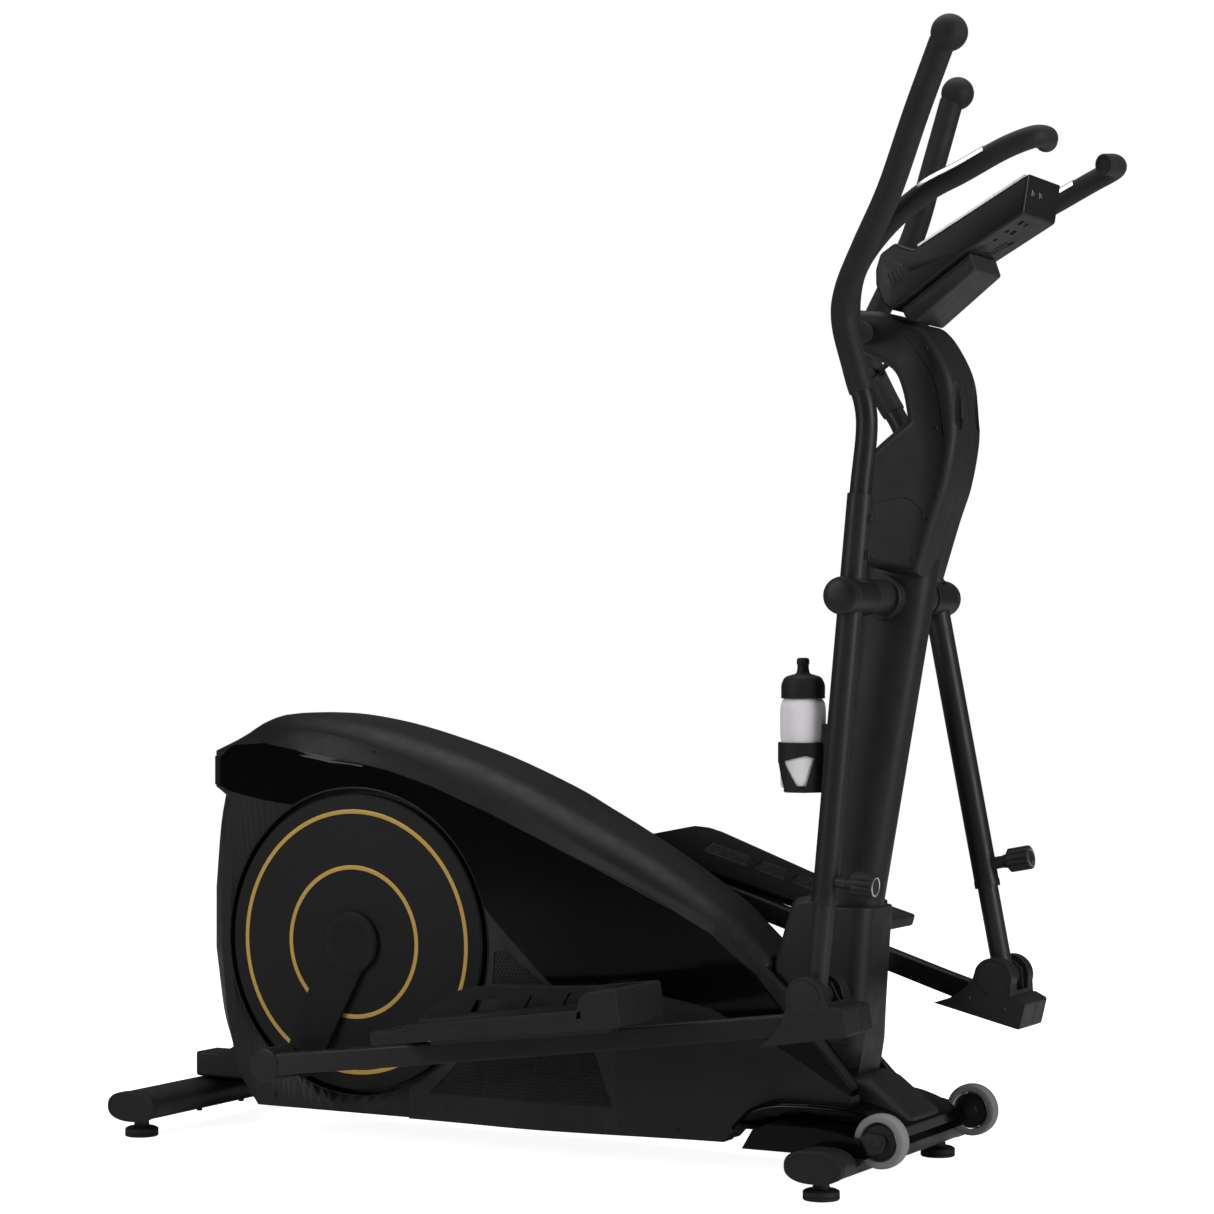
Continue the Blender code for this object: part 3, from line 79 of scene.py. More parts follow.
# ---- materials ------------------------------------------------------------------------------------
def material(name, colour, rough, grain=0.25, grain_size=700.0, mottle=0.18, metallic=0.0, coat=0.0, vary=0.06,
             relief=0.0002, level=0.22, sheen=0.0, anisotropy=0.0, wear=0.0):
    mat = bpy.data.materials.new(name)
    mat.use_nodes = True
    nodes, links = mat.node_tree.nodes, mat.node_tree.links
    shader = nodes["Principled BSDF"]
    shader.inputs["Metallic"].default_value = metallic
    shader.inputs["Specular IOR Level"].default_value = level
    shader.inputs["Coat Weight"].default_value = coat
    shader.inputs["Coat Roughness"].default_value = 0.06
    shader.inputs["Sheen Weight"].default_value = sheen
    shader.inputs["Sheen Roughness"].default_value = 0.6
    shader.inputs["Anisotropic"].default_value = anisotropy
    place = nodes.new("ShaderNodeTexCoord")

    def noise(size, detail):
        node = nodes.new("ShaderNodeTexNoise")
        node.inputs["Scale"].default_value = size
        node.inputs["Detail"].default_value = detail
        links.new(place.outputs["Object"], node.inputs["Vector"])
        return node

    def span(source, low, high):
        node = nodes.new("ShaderNodeMapRange")
        node.inputs["From Min"].default_value = 0.3
        node.inputs["From Max"].default_value = 0.7
        node.inputs["To Min"].default_value = low
        node.inputs["To Max"].default_value = high
        links.new(source, node.inputs["Value"])
        return node.outputs["Result"]

    cloud = noise(7.0, 4.0)
    fine = noise(grain_size, 3.0)
    mix = nodes.new("ShaderNodeMix")
    mix.data_type = "RGBA"
    mix.inputs[6].default_value = (*[c * (1 - mottle) for c in colour], 1)
    mix.inputs[7].default_value = (*[min(1, c * (1 + mottle)) for c in colour], 1)
    links.new(span(cloud.outputs["Fac"], 0.0, 1.0), mix.inputs[0])
    tint = mix.outputs[2]
    if wear:
        edge = nodes.new("ShaderNodeNewGeometry")
        ramp = nodes.new("ShaderNodeMapRange")
        ramp.inputs["From Min"].default_value = 0.52
        ramp.inputs["From Max"].default_value = 0.62
        ramp.inputs["To Max"].default_value = wear
        links.new(edge.outputs["Pointiness"], ramp.inputs["Value"])
        worn = nodes.new("ShaderNodeMix")
        worn.data_type = "RGBA"
        worn.inputs[7].default_value = (*[min(1, c * 3 + 0.01) for c in colour], 1)
        links.new(ramp.outputs["Result"], worn.inputs[0])
        links.new(tint, worn.inputs[6])
        tint = worn.outputs[2]
    links.new(tint, shader.inputs["Base Color"])
    links.new(span(noise(38.0, 5.0).outputs["Fac"], rough - vary, rough + vary), shader.inputs["Roughness"])
    bump = nodes.new("ShaderNodeBump")
    bump.inputs["Strength"].default_value = grain
    bump.inputs["Distance"].default_value = relief
    links.new(fine.outputs["Fac"], bump.inputs["Height"])
    links.new(bump.outputs["Normal"], shader.inputs["Normal"])
    return mat


PAINT = material("powder_coat", (0.0100, 0.0100, 0.0106), 0.42, grain=0.5, grain_size=520, wear=0.35)
MATTE = material("grained_plastic", (0.0098, 0.0098, 0.0103), 0.48, grain=0.45, grain_size=850, wear=0.3)
SATIN = material("satin_plastic", (0.0125, 0.0125, 0.0130), 0.52, grain=0.5, grain_size=760, wear=0.2)
HOOD = material("hood_plastic", (0.0070, 0.0070, 0.0073), 0.46, grain=0.5, grain_size=900, wear=0.2)
GLOSS = material("polished_plastic", (0.0020, 0.0019, 0.0022), 0.15, grain=0.04, grain_size=120, vary=0.02, coat=0.05, level=0.06)
DISC = material("disc_plastic", (0.0085, 0.0084, 0.0088), 0.50, grain=0.35, grain_size=900, mottle=0.10, wear=0.3, level=0.12)
GOLD = material("gold_inlay", (0.50, 0.32, 0.075), 0.38, grain=0.15, grain_size=600, mottle=0.06, metallic=0.35)
FOAM = material("grip_foam", (0.0085, 0.0085, 0.0087), 0.62, grain=0.8, grain_size=1100, relief=0.0003, sheen=0.04)
RUBBER = material("tread_rubber", (0.0100, 0.0098, 0.0098), 0.60, grain=0.7, grain_size=950, relief=0.0003)
TYRE = material("tyre_rubber", (0.190, 0.188, 0.185), 0.62, grain=0.6, grain_size=700, mottle=0.22, relief=0.0003)
STEEL = material("turned_steel", (0.55, 0.55, 0.56), 0.28, grain=0.2, grain_size=400, metallic=1.0, anisotropy=0.4)
CHROME = material("polished_metal", (0.72, 0.72, 0.74), 0.14, grain=0.05, grain_size=200, metallic=1.0, vary=0.03)
IRON = material("cast_iron_skin", (0.10, 0.10, 0.105), 0.52, grain=0.8, grain_size=420, metallic=0.8, relief=0.0004)
BELT = material("ribbed_belt", (0.018, 0.018, 0.018), 0.7, grain=0.6, grain_size=600)
BOTTLE = material("frosted_plastic", (0.80, 0.775, 0.80), 0.34, grain=0.2, grain_size=300, mottle=0.05)
SCREEN = material("console_glass", (0.004, 0.004, 0.0045), 0.07, grain=0.02, grain_size=80, vary=0.02, coat=0.5)
CASE = material("console_shell", (0.0070, 0.0070, 0.0072), 0.36, grain=0.35, grain_size=900, wear=0.3)
# Painted bounce light: this colour is lighter than the console case to stand for the floor's light falling on the
# cradle's underside.
BOUNCE_LIT_BRACKET = material("bracket_shell", (0.020, 0.020, 0.0198), 0.45, grain=0.45, grain_size=800, wear=0.3)
HOLE = material("deep_hole", (0.0015, 0.0015, 0.0015), 0.8, grain=0.2, grain_size=500)
TRIM = material("silver_trim", (0.75, 0.75, 0.76), 0.30, grain=0.08, grain_size=400, metallic=0.6)

BY_SLOT = {
    "black_paint": PAINT, "matte_shell": MATTE, "gloss_shell": HOOD, "foam_grip": FOAM, "black_rubber": RUBBER,
    "grey_tyre": TYRE, "bright_steel": STEEL, "cast_iron": IRON, "belt_rubber": BELT, "bottle_plastic": BOTTLE,
    "console_plastic": CASE,
}
SLOT_OF = {entry["node"]: entry["material_slot"] for entry in frame["record"]["subparts"]}
for node, obj in frame["nodes"].items():
    obj.data.materials.clear()
    obj.data.materials.append(BY_SLOT[SLOT_OF[node]])


# ---- mesh tools -----------------------------------------------------------------------------------
def made(name, bm, where=MACHINE, smooth=38):
    """A mesh object in the row frame, with outward faces and smooth shading below an edge angle."""
    bmesh.ops.recalc_face_normals(bm, faces=bm.faces)
    mesh = bpy.data.meshes.new(name)
    bm.to_mesh(mesh)
    bm.free()
    mesh.transform(where)
    if where.determinant() < 0:
        mesh.flip_normals()
    mesh.shade_smooth()
    mesh.set_sharp_from_angle(angle=math.radians(smooth))
    obj = bpy.data.objects.new(name, mesh)
    bpy.context.scene.collection.objects.link(obj)
    return obj


def settle(obj):
    """The object with its modifiers applied."""
    bpy.context.view_layer.update()
    graph = bpy.context.evaluated_depsgraph_get()
    mesh = bpy.data.meshes.new_from_object(obj.evaluated_get(graph))
    old = obj.data
    obj.modifiers.clear()
    obj.data = mesh
    mesh.name = obj.name
    bpy.data.meshes.remove(old)
    return obj


def drop(*objs):
    for obj in objs:
        mesh = obj.data
        bpy.data.objects.remove(obj)
        bpy.data.meshes.remove(mesh)


def boolean(obj, operation, *tools, folded=False):
    for tool in tools:
        step = obj.modifiers.new(operation, "BOOLEAN")
        step.operation = operation
        step.object = tool
        step.solver = "EXACT"
        step.use_self = folded
    settle(obj)
    drop(*tools)
    return obj


def carve(obj, *tools, folded=False):
    return boolean(obj, "DIFFERENCE", *tools, folded=folded)


def join(obj, *tools):
    return boolean(obj, "UNION", *tools)


def soften(obj, width, segments=3, angle=32):
    step = obj.modifiers.new("soften", "BEVEL")
    step.width = width
    step.segments = segments
    step.limit_method = "ANGLE"
    step.angle_limit = math.radians(angle)
    step.harden_normals = True
    return settle(obj)


def put(obj, surface, body="frame", nodes=()):
    obj.data.materials.clear()
    obj.data.materials.append(surface)
    flat = obj.modifiers.new("flat_faces", "WEIGHTED_NORMAL")
    flat.keep_sharp = True
    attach(obj, body)
    if nodes:
        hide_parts(*([nodes] if isinstance(nodes, str) else nodes))
    return obj


def loft(rings, closed=False, caps=True):
    bm = bmesh.new()
    rows = [[bm.verts.new(p) for p in ring] for ring in rings]
    count = len(rows[0])
    pairs = list(zip(rows, rows[1:])) + ([(rows[-1], rows[0])] if closed else [])
    for a, b in pairs:
        for i in range(count):
            j = (i + 1) % count
            bm.faces.new((a[i], a[j], b[j], b[i]))
    if caps and not closed:
        bm.faces.new(rows[0][::-1])
        bm.faces.new(rows[-1])
    return bm


def turned(profile, steps=48, axis="Y", centre=(0, 0, 0), closed=True):
    """A turned bmesh; the profile is (radius, along) and may touch the axis at its ends."""
    bm = bmesh.new()
    columns = []
    for i in range(steps):
        angle = 2 * math.pi * i / steps
        column = []
        for radius, along in profile:
            c, s = radius * math.cos(angle), radius * math.sin(angle)
            point = {"X": (along, c, s), "Y": (s, along, c), "Z": (c, s, along)}[axis]
            column.append(bm.verts.new(Vector(point) + Vector(centre)))
        columns.append(column)
    spans = len(profile) if closed and profile[0][0] > 1e-6 and profile[-1][0] > 1e-6 else len(profile) - 1
    for i in range(steps):
        a, b = columns[i], columns[(i + 1) % steps]
        for k in range(spans):
            n = (k + 1) % len(profile)
            bm.faces.new((a[k], a[n], b[n], b[k]))
    bmesh.ops.remove_doubles(bm, verts=bm.verts, dist=1e-6)
    return bm


def curve(points, steps=5):
    """Catmull-Rom points through the given ones."""
    points = [Vector(p) for p in points]
    ends = [points[0] * 2 - points[1]] + points + [points[-1] * 2 - points[-2]]
    path = []
    for a, b, c, d in zip(ends, ends[1:], ends[2:], ends[3:]):
        for k in range(steps):
            t = k / steps
            path.append(0.5 * (2 * b + (c - a) * t + (2 * a - 5 * b + 4 * c - d) * t**2 + (3 * b - a - 3 * c + d) * t**3))
    path.append(points[-1])
    return path


def rounded_section(half_a, half_b, radius, steps=3):
    """A rectangle with round corners, as (a, b) points."""
    loop = []
    for sa, sb, start in ((1, 1, 0), (-1, 1, 90), (-1, -1, 180), (1, -1, 270)):
        for k in range(steps + 1):
            angle = math.radians(start + 90 * k / steps)
            loop.append((sa * (half_a - radius) + radius * math.cos(angle), sb * (half_b - radius) + radius * math.sin(angle)))
    return loop


def swept(path, sizes, hint=(0, 1, 0), steps=24, section=None):
    """Rings along a path: sizes is one radius, or one for each point; section gives another shape."""
    path = [Vector(p) for p in path]
    across = Vector(hint)
    rings = []
    for i, point in enumerate(path):
        ahead = (path[min(i + 1, len(path) - 1)] - path[max(i - 1, 0)]).normalized()
        across = (across - ahead * across.dot(ahead)).normalized()
        up = ahead.cross(across)
        size = sizes[i] if isinstance(sizes, (list, tuple)) else sizes
        shape = section or [(size * math.cos(2 * math.pi * k / steps), size * math.sin(2 * math.pi * k / steps)) for k in range(steps)]
        rings.append([point + across * a + up * b for a, b in shape])
    return rings


def prism(outline, low, high):
    low, high = sorted((low, high))
    return loft([[Vector((x, y, z)) for x, z in outline] for y in (low, high)])


def block(low, high):
    return prism([(low[0], low[2]), (high[0], low[2]), (high[0], high[2]), (low[0], high[2])], low[1], high[1])


def cylinder(radius, low, high, axis="Y", centre=(0, 0, 0), steps=40):
    low, high = sorted((low, high))
    return turned([(0, low), (radius, low), (radius, high), (0, high)], steps, axis, centre)


def inset(outline, distance):
    count = len(outline)
    area = sum(outline[i - 1][0] * outline[i][1] - outline[i][0] * outline[i - 1][1] for i in range(count))
    turn = 1.0 if area > 0 else -1.0
    moved = []
    for i in range(count):
        here = Vector(outline[i])
        into = (here - Vector(outline[i - 1])).normalized()
        out = (Vector(outline[(i + 1) % count]) - here).normalized()
        normal = (Vector((-(into.y + out.y), into.x + out.x)) * turn).normalized()
        sharp = max(0.4, normal.dot(Vector((-out.y, out.x)) * turn))
        moved.append(tuple(here + normal * distance / sharp))
    return moved


def merge(bms):
    """Several bmeshes as one."""
    total = bmesh.new()
    for bm in bms:
        mesh = bpy.data.meshes.new("part")
        bm.to_mesh(mesh)
        bm.free()
        total.from_mesh(mesh)
        bpy.data.meshes.remove(mesh)
    return total


def between(points, x):
    for (x0, z0), (x1, z1) in zip(points, points[1:]):
        if x0 <= x <= x1:
            return z0 + (z1 - z0) * (x - x0) / (x1 - x0)
    return points[0][1] if x < points[0][0] else points[-1][1]


def mirrored(obj, name, surface, nodes=(), body="frame"):
    """A copy on the other side of the middle plane."""
    mesh = obj.data.copy()
    mesh.name = name
    mesh.transform(Matrix.Scale(-1, 4, (0, 1, 0)))
    mesh.flip_normals()
    twin = bpy.data.objects.new(name, mesh)
    bpy.context.scene.collection.objects.link(twin)
    return put(twin, surface, body, nodes)


# ---- drive housing --------------------------------------------------------------------------------
# Pairs along the side face, rear to front: upper point, lower point. Each point is x, z, how far
# the middle stands above it and how far it bulges to the rear.
SHELL_PAIRS = (
    ((-0.262, 0.400, 0, 0.050), (-0.262, 0.300, 0, 0.050)),
    ((-0.256, 0.500, 0, 0.045), (-0.252, 0.200, 0, 0.040)),
    ((-0.246, 0.553, 0, 0.045), (-0.241, 0.150, 0, 0.030)),
    ((-0.264, 0.566, 0, 0.048), (-0.232, 0.110, 0, 0.020)),
    ((-0.264, 0.625, 0, 0.048), (-0.212, 0.079, 0, 0.010)),
    ((-0.235, 0.640, 0.005, 0.030), (-0.190, 0.050, 0, 0)),
    ((-0.190, 0.656, 0.026, 0.010), (-0.150, 0.050, 0, 0)),
    ((-0.134, 0.664, 0.024, 0), (-0.110, 0.050, 0, 0)),
    ((-0.050, 0.655, 0.025, 0), (-0.050, 0.050, 0, 0)),
    ((0.045, 0.633, 0.028, 0), (0.045, 0.050, 0, 0)),
    ((0.170, 0.594, 0.031, 0), (0.170, 0.050, 0, 0)),
    ((0.290, 0.543, 0.036, 0), (0.290, 0.049, 0, 0)),
    ((0.360, 0.508, 0.037, 0), (0.360, 0.049, 0, 0)),
    ((0.425, 0.475, 0.038, 0), (0.425, 0.049, 0, 0)),
    ((0.520, 0.427, 0.035, 0), (0.520, 0.049, 0, 0)),
    ((0.606, 0.383, 0.024, 0), (0.606, 0.049, 0, 0)),
    ((0.640, 0.350, 0.030, 0), (0.640, 0.049, 0, 0)),
    ((0.697, 0.294, 0.036, 0), (0.697, 0.109, 0, 0)),
    ((0.740, 0.251, 0.038, 0), (0.740, 0.1215, 0, 0)),
    ((0.850, 0.142, 0.006, 0), (0.850, 0.1222, 0, 0)),
)
# Share of the half width, then of the crown, the rear bulge and the slanted band at each ring.
STATIONS = (
    (0.0, 1.0, 1.0, 0.0), (0.25, 0.99, 0.985, 0.0), (0.45, 0.95, 0.94, 0.0), (0.62, 0.80, 0.82, 0.0),
    (0.74, 0.52, 0.70, 0.0), (0.80, 0.28, 0.60, 0.0), (0.84, 0.08, 0.52, 0.0), (0.865, 0.0, 0.45, 0.06),
    (0.90, 0.0, 0.34, 0.30), (0.95, 0.0, 0.18, 0.66), (0.985, 0.0, 0.05, 0.92), (1.0, 0.0, 0.0, 1.0),
)
BAND = (
    (-0.264, 0.004), (-0.235, 0.004), (-0.190, 0.019), (-0.140, 0.026), (-0.110, 0.045), (-0.050, 0.047), (0.045, 0.034),
    (0.170, 0.030), (0.290, 0.025), (0.425, 0.017), (0.606, 0.014), (0.640, 0.006), (0.697, 0.002), (0.850, 0.0),
)
GLOSS_AREA = (
    (-0.330, 0.6150), (-0.2633, 0.6173), (-0.2432, 0.6357), (-0.1775, 0.6400), (-0.1035, 0.6272), (-0.0183, 0.6145),
    (0.0600, 0.5996), (0.1394, 0.5772), (0.2445, 0.5384),
    (0.3760, 0.4831), (0.5161, 0.4189), (0.6187, 0.3611), (0.6858, 0.3050), (0.7848, 0.2040), (0.8600, 0.1300),
    (0.8600, 0.1260), (0.7500, 0.1900), (0.6200, 0.2500), (0.4640, 0.2791), (0.3618, 0.2737), (0.2683, 0.3625),
    (0.2391, 0.3925), (0.0, CRANK_Z), (-0.1085, 0.5389), (-0.1793, 0.5469), (-0.2471, 0.5601), (-0.2632, 0.5679),
    (-0.330, 0.5720),
)
LOWER_AREA = (
    (0.2376, 0.3915), (0.2676, 0.3610), (0.3612, 0.2722), (0.4640, 0.2776), (0.6196, 0.2485), (0.7490, 0.1885),
    (0.8600, 0.1245), (0.8600, 0.0200), (0.1015, 0.0200), (0.1015, 0.1200), (0.0, CRANK_Z),
)
CAVITY_REAR = (
    (-0.200, 0.085), (-0.222, 0.300), (-0.212, 0.530), (-0.120, 0.605), (0.100, 0.565), (0.360, 0.445), (0.360, 0.072), (-0.150, 0.072),
)
CAVITY_FRONT = ((0.350, 0.072), (0.350, 0.440), (0.600, 0.325), (0.660, 0.240), (0.630, 0.072))
GRILLES = (
    ((0.2592, 0.3199), (0.2791, 0.3240), (0.3475, 0.2745), (0.2556, 0.2697)),
    ((0.2045, 0.1555), (0.4308, 0.1745), (0.4605, 0.0907), (0.1417, 0.0931)),
)
LOWER_COVER = (
    (0.735, 0.416), (0.770, 0.425), (0.790, 0.407), (0.864, 0.407),
    (0.850, 0.205), (0.840, 0.153), (0.700, 0.153), (0.696, 0.284),
)


def shell_width(x):
    t = min(1.0, max(0.0, (x - 0.30) / 0.38))
    return SHELL_HALF - (SHELL_HALF - NOSE_HALF) * t * t * (3 - 2 * t)


def smooth_run(points, sharp, steps):
    """Points in between, smooth except at the sharp ones."""
    points = [Vector(p) for p in points]
    out = []
    for i in range(len(points) - 1):
        b, c = points[i], points[i + 1]
        a = points[i - 1] if i and i not in sharp else b * 2 - c
        d = points[i + 2] if i + 2 < len(points) and i + 1 not in sharp else c * 2 - b
        for k in range(steps):
            t = k / steps
            out.append(0.5 * (2 * b + (c - a) * t + (2 * a - 5 * b + 4 * c - d) * t**2 + (3 * b - a - 3 * c + d) * t**3))
    return out + [points[-1]]


def shell_rings(grow):
    upper = smooth_run([pair[0] for pair in SHELL_PAIRS], {2, 3, 4, 5}, 4)
    lower = smooth_run([pair[1] for pair in SHELL_PAIRS], {5, 6, 15, 16, 17}, 4)
    rings = []
    for share, crown, bulge, band in STATIONS:
        loop = [(x - b * bulge, z + c * crown - band * between(BAND, x)) for x, z, c, b in upper]
        loop += [(x - b * bulge, z) for x, z, c, b in reversed(lower)]
        if grow:
            loop = inset(loop, -grow)
        rings.append([Vector((x, -max(0.0005, share * (shell_width(x) + grow)), z)) for x, z in loop])
    return rings


def shell_solid(name, grow=0.0, cap=True):
    rings = shell_rings(grow)
    bm = bmesh.new()
    rows = [[bm.verts.new(p) for p in ring] for ring in rings]
    count = len(rows[0])
    for a, b in zip(rows, rows[1:]):
        for i in range(count):
            j = (i + 1) % count
            bm.faces.new((a[i], a[j], b[j], b[i]))
    for row in (rows[-1], rows[0]) if cap else (rows[-1],):
        for i in range(count // 2 - 1):
            bm.faces.new((row[i], row[i + 1], row[-2 - i], row[-1 - i]))
    return made(name, bm, MACHINE, 30)


def machine_box(low, high):
    return made("cutter", block(low, high))


def machine_prism(outline, low, high):
    return made("cutter", prism(outline, low, high))


def opening(radius, low, high):
    return made("cutter", cylinder(radius, -low, -high, "Y", (0, 0, CRANK_Z), 128))


def front_slots():
    return [machine_prism(inset(LOWER_COVER, -0.0015), -0.0600, 0.02), machine_box((0.6935, -0.0600, 0), (1.0, 0.02, 0.2500))]


def rear_slots():
    return [machine_box((-0.45, -0.0315, 0), (1.0, 0.02, 0.1153)), machine_box((-0.45, -0.0635, 0), (-0.2235, 0.02, 0.1465))]


shell = shell_solid("right_housing")
carve(shell, machine_prism(CAVITY_REAR, -0.0980, 0.02), machine_prism(CAVITY_FRONT, -0.0700, 0.02), folded=True)
carve(shell, opening(RECESS_RADIUS + 0.0015, 0.099, 0.16), *front_slots(), *rear_slots(), folded=True)
cup = [(0.016, 0.1045), (0.2485, 0.1045), (0.2485, 0.1235), (0.2478, 0.1256), (0.2462, 0.1262), (0.2450, 0.1250), (0.2450, 0.1085), (0.016, 0.1085)]
recess = made("right_recess", turned([(r, -y) for r, y in cup], 128, "Y", (0, 0, CRANK_Z)))


def side_panel(name, area, *cuts):
    panel = made(name, prism(area, -0.060, -0.16))
    boolean(panel, "INTERSECT", shell_solid("cutter", 0.0016))
    carve(panel, shell_solid("cutter", -0.0006), opening(RECESS_RADIUS + 0.0040, 0.05, 0.16), *front_slots(), *cuts)
    return soften(panel, 0.0007, 2)


def grown(outline, distance):
    return inset(outline, -distance)


side_gloss = side_panel("right_gloss_panel", GLOSS_AREA)
seam = [(0.4370, 0.1750), (0.4386, 0.1750), (0.4978, 0.0400), (0.4962, 0.0400)]
lower_cuts = [machine_prism(grown(area, 0.0005), -0.06, -0.16) for area in GRILLES] + [machine_prism(seam, -0.1262, -0.16)]
side_lower = side_panel("right_lower_panel", LOWER_AREA, *lower_cuts)


def inside(outline, x, z, margin):
    """Whether the point lies in the convex outline, clear of its edges."""
    ring = list(outline)
    for (x0, z0), (x1, z1) in zip(ring, ring[1:] + ring[:1]):
        length = math.hypot(x1 - x0, z1 - z0)
        if ((x1 - x0) * (z - z0) - (z1 - z0) * (x - x0)) / length > -margin:
            return False
    return True


def honeycomb(outline, pitch=0.0065, hole=0.0027):
    """A plate of hexagonal cells with open holes, set out inside the outline."""
    bm = bmesh.new()
    rows = int(0.4 / (pitch * 0.866))
    for row in range(rows):
        for column in range(int(0.6 / pitch)):
            x = 0.12 + (column + 0.5 * (row % 2)) * pitch
            z = 0.08 + row * pitch * 0.866
            if not inside(outline, x, z, 0.0026):
                continue
            y = -shell_width(x) - 0.0013
            rings = []
            for radius, depth in ((pitch / 1.732, 0.0), (hole, 0.0), (hole * 0.9, 0.0011)):
                ring = []
                for k in range(6):
                    angle = math.radians(30 + 60 * k)
                    ring.append(bm.verts.new((x + radius * math.cos(angle), y + depth, z + radius * math.sin(angle))))
                rings.append(ring)
            for a, b in zip(rings, rings[1:]):
                for k in range(6):
                    bm.faces.new((a[k], a[(k + 1) % 6], b[(k + 1) % 6], b[k]))
    return bm


grille = made("right_grilles", merge([honeycomb(area) for area in GRILLES]))


def screw_head(x, y, z, radius=0.0036, axis="Y", out=-1):
    profile = [(0, 0.0004), (0.0013, 0.0004), (0.0013, 0.0016), (radius * 0.8, 0.0016), (radius, 0.0008), (radius, -0.001), (0, -0.001)]
    return turned([(r, out * h) for r, h in profile], 20, axis, (x, y, z))


SCREWS = ((-0.1568, 0.0692), (0.1695, 0.0683), (0.5659, 0.0619))
heads = [screw_head(x, -shell_width(x) - 0.0014, z) for x, z in SCREWS]
heads.append(screw_head(0.0245, -0.1130, 0.6290, 0.0036))
screws = made("right_housing_screws", merge(heads))
for piece, surface, nodes in (
    (shell, HOOD, "right_shell"), (recess, HOOD, ()), (side_gloss, GLOSS, ()), (side_lower, SATIN, ()),
    (grille, SATIN, ()), (screws, MATTE, ()),
):
    put(piece, surface, "frame", nodes)
    mirrored(piece, piece.name.replace("right", "left"), surface, nodes and nodes.replace("right", "left"))

# ---- side discs and cranks --------------------------------------------------------------------------
for side, sign in SIDES.items():
    face = [(0.0128, 0.1118), (0.2340, 0.1118), (0.2370, 0.1135), (0.2370, 0.1240), (0.2362, 0.1258), (0.2340, 0.1272), (0.2125, 0.1290)]
    face += [(0.2122, 0.1284), (0.2052, 0.1285), (0.2049, 0.1293), (0.1232, 0.1333), (0.1229, 0.1326), (0.1159, 0.1327), (0.1156, 0.1335)]
    face += [(0.0560, 0.1352), (0.0128, 0.1355)]
    disc = made(side + "_disc", turned([(r, sign * h) for r, h in face], 160, "Y", (0, 0, CRANK_Z)), MACHINE, 20)
    put(disc, DISC, "crank", side + "_side_disc")
    for name, radius, height in (("outer", 0.2087, 0.1285), ("inner", 0.1194, 0.1327)):
        band = [(radius - 0.0034, height - 0.0004), (radius + 0.0034, height - 0.0004), (radius + 0.0034, height + 0.0009), (radius + 0.0028, height + 0.0012), (radius - 0.0028, height + 0.0012), (radius - 0.0034, height + 0.0009)]
        put(made(f"{side}_{name}_gold_ring", turned([(r, sign * h) for r, h in band], 160, "Y", (0, 0, CRANK_Z)), MACHINE), GOLD, "crank")
    outline = []
    for k in range(33):
        angle = math.radians(54.1) + math.radians(360 - 108.2) * k / 32
        outline.append((0.0500 * math.cos(angle), 0.0500 * math.sin(angle)))
    for k in range(17):
        angle = math.radians(-75.5 + 151 * k / 16)
        outline.append((CRANK_THROW + 0.0320 * math.cos(angle), 0.0320 * math.sin(angle)))
    arm = soften(made(side + "_arm", prism(outline, sign * 0.1378, sign * 0.1442), CRANK[side]), 0.0016, 3)
    parts = [cylinder(0.0265, sign * 0.1400, sign * 0.1840, "Y", (CRANK_THROW, 0, 0), 64)]
    cap = [(0, 0.1405), (0.0475, 0.1405), (0.0475, 0.1447), (0.0467, 0.1453), (0.0340, 0.1455), (0.0332, 0.1449), (0, 0.1448)]
    parts.append(turned([(r, sign * h) for r, h in cap], 96))
    put(arm, DISC, "crank", side + "_crank")
    put(made(side + "_crank_hub", merge(parts), CRANK[side]), DISC, "crank")

# ---- swing arms, handles and their adjusters ------------------------------------------------------
HANDLE = (
    (0.000, 0.000, 0.040), (0.000, 0.000, 0.155), (0.000, 0.000, 0.258), (-0.022, 0.003, 0.325), (-0.043, 0.014, 0.395),
    (-0.036, 0.030, 0.442), (-0.003, 0.056, 0.503), (0.043, 0.086, 0.584), (0.086, 0.115, 0.690), (0.126, 0.138, 0.786),
)
BALL = (0.1370, 0.1420, 0.7970)
HANDLE_STEPS = 7
GRIP_START = 3


def hex_bolt(x, y, z, out=1, size=0.0058, length=0.010):
    """A hexagon head with a washer, pointing along X."""
    washer = turned([(0, 0), (size * 1.35, 0), (size * 1.35, out * 0.0012), (0, out * 0.0012)], 24, "X", (x, y, z))
    head = turned([(0, out * 0.001), (size, out * 0.001), (size, out * 0.0048), (size * 0.85, out * 0.0056), (0, out * 0.0056)], 6, "X", (x, y, z))
    shank = turned([(0, 0.001), (size * 0.5, 0.001), (size * 0.5, out * length), (0, out * length)], 16, "X", (x, y, z))
    return [washer, head, shank]


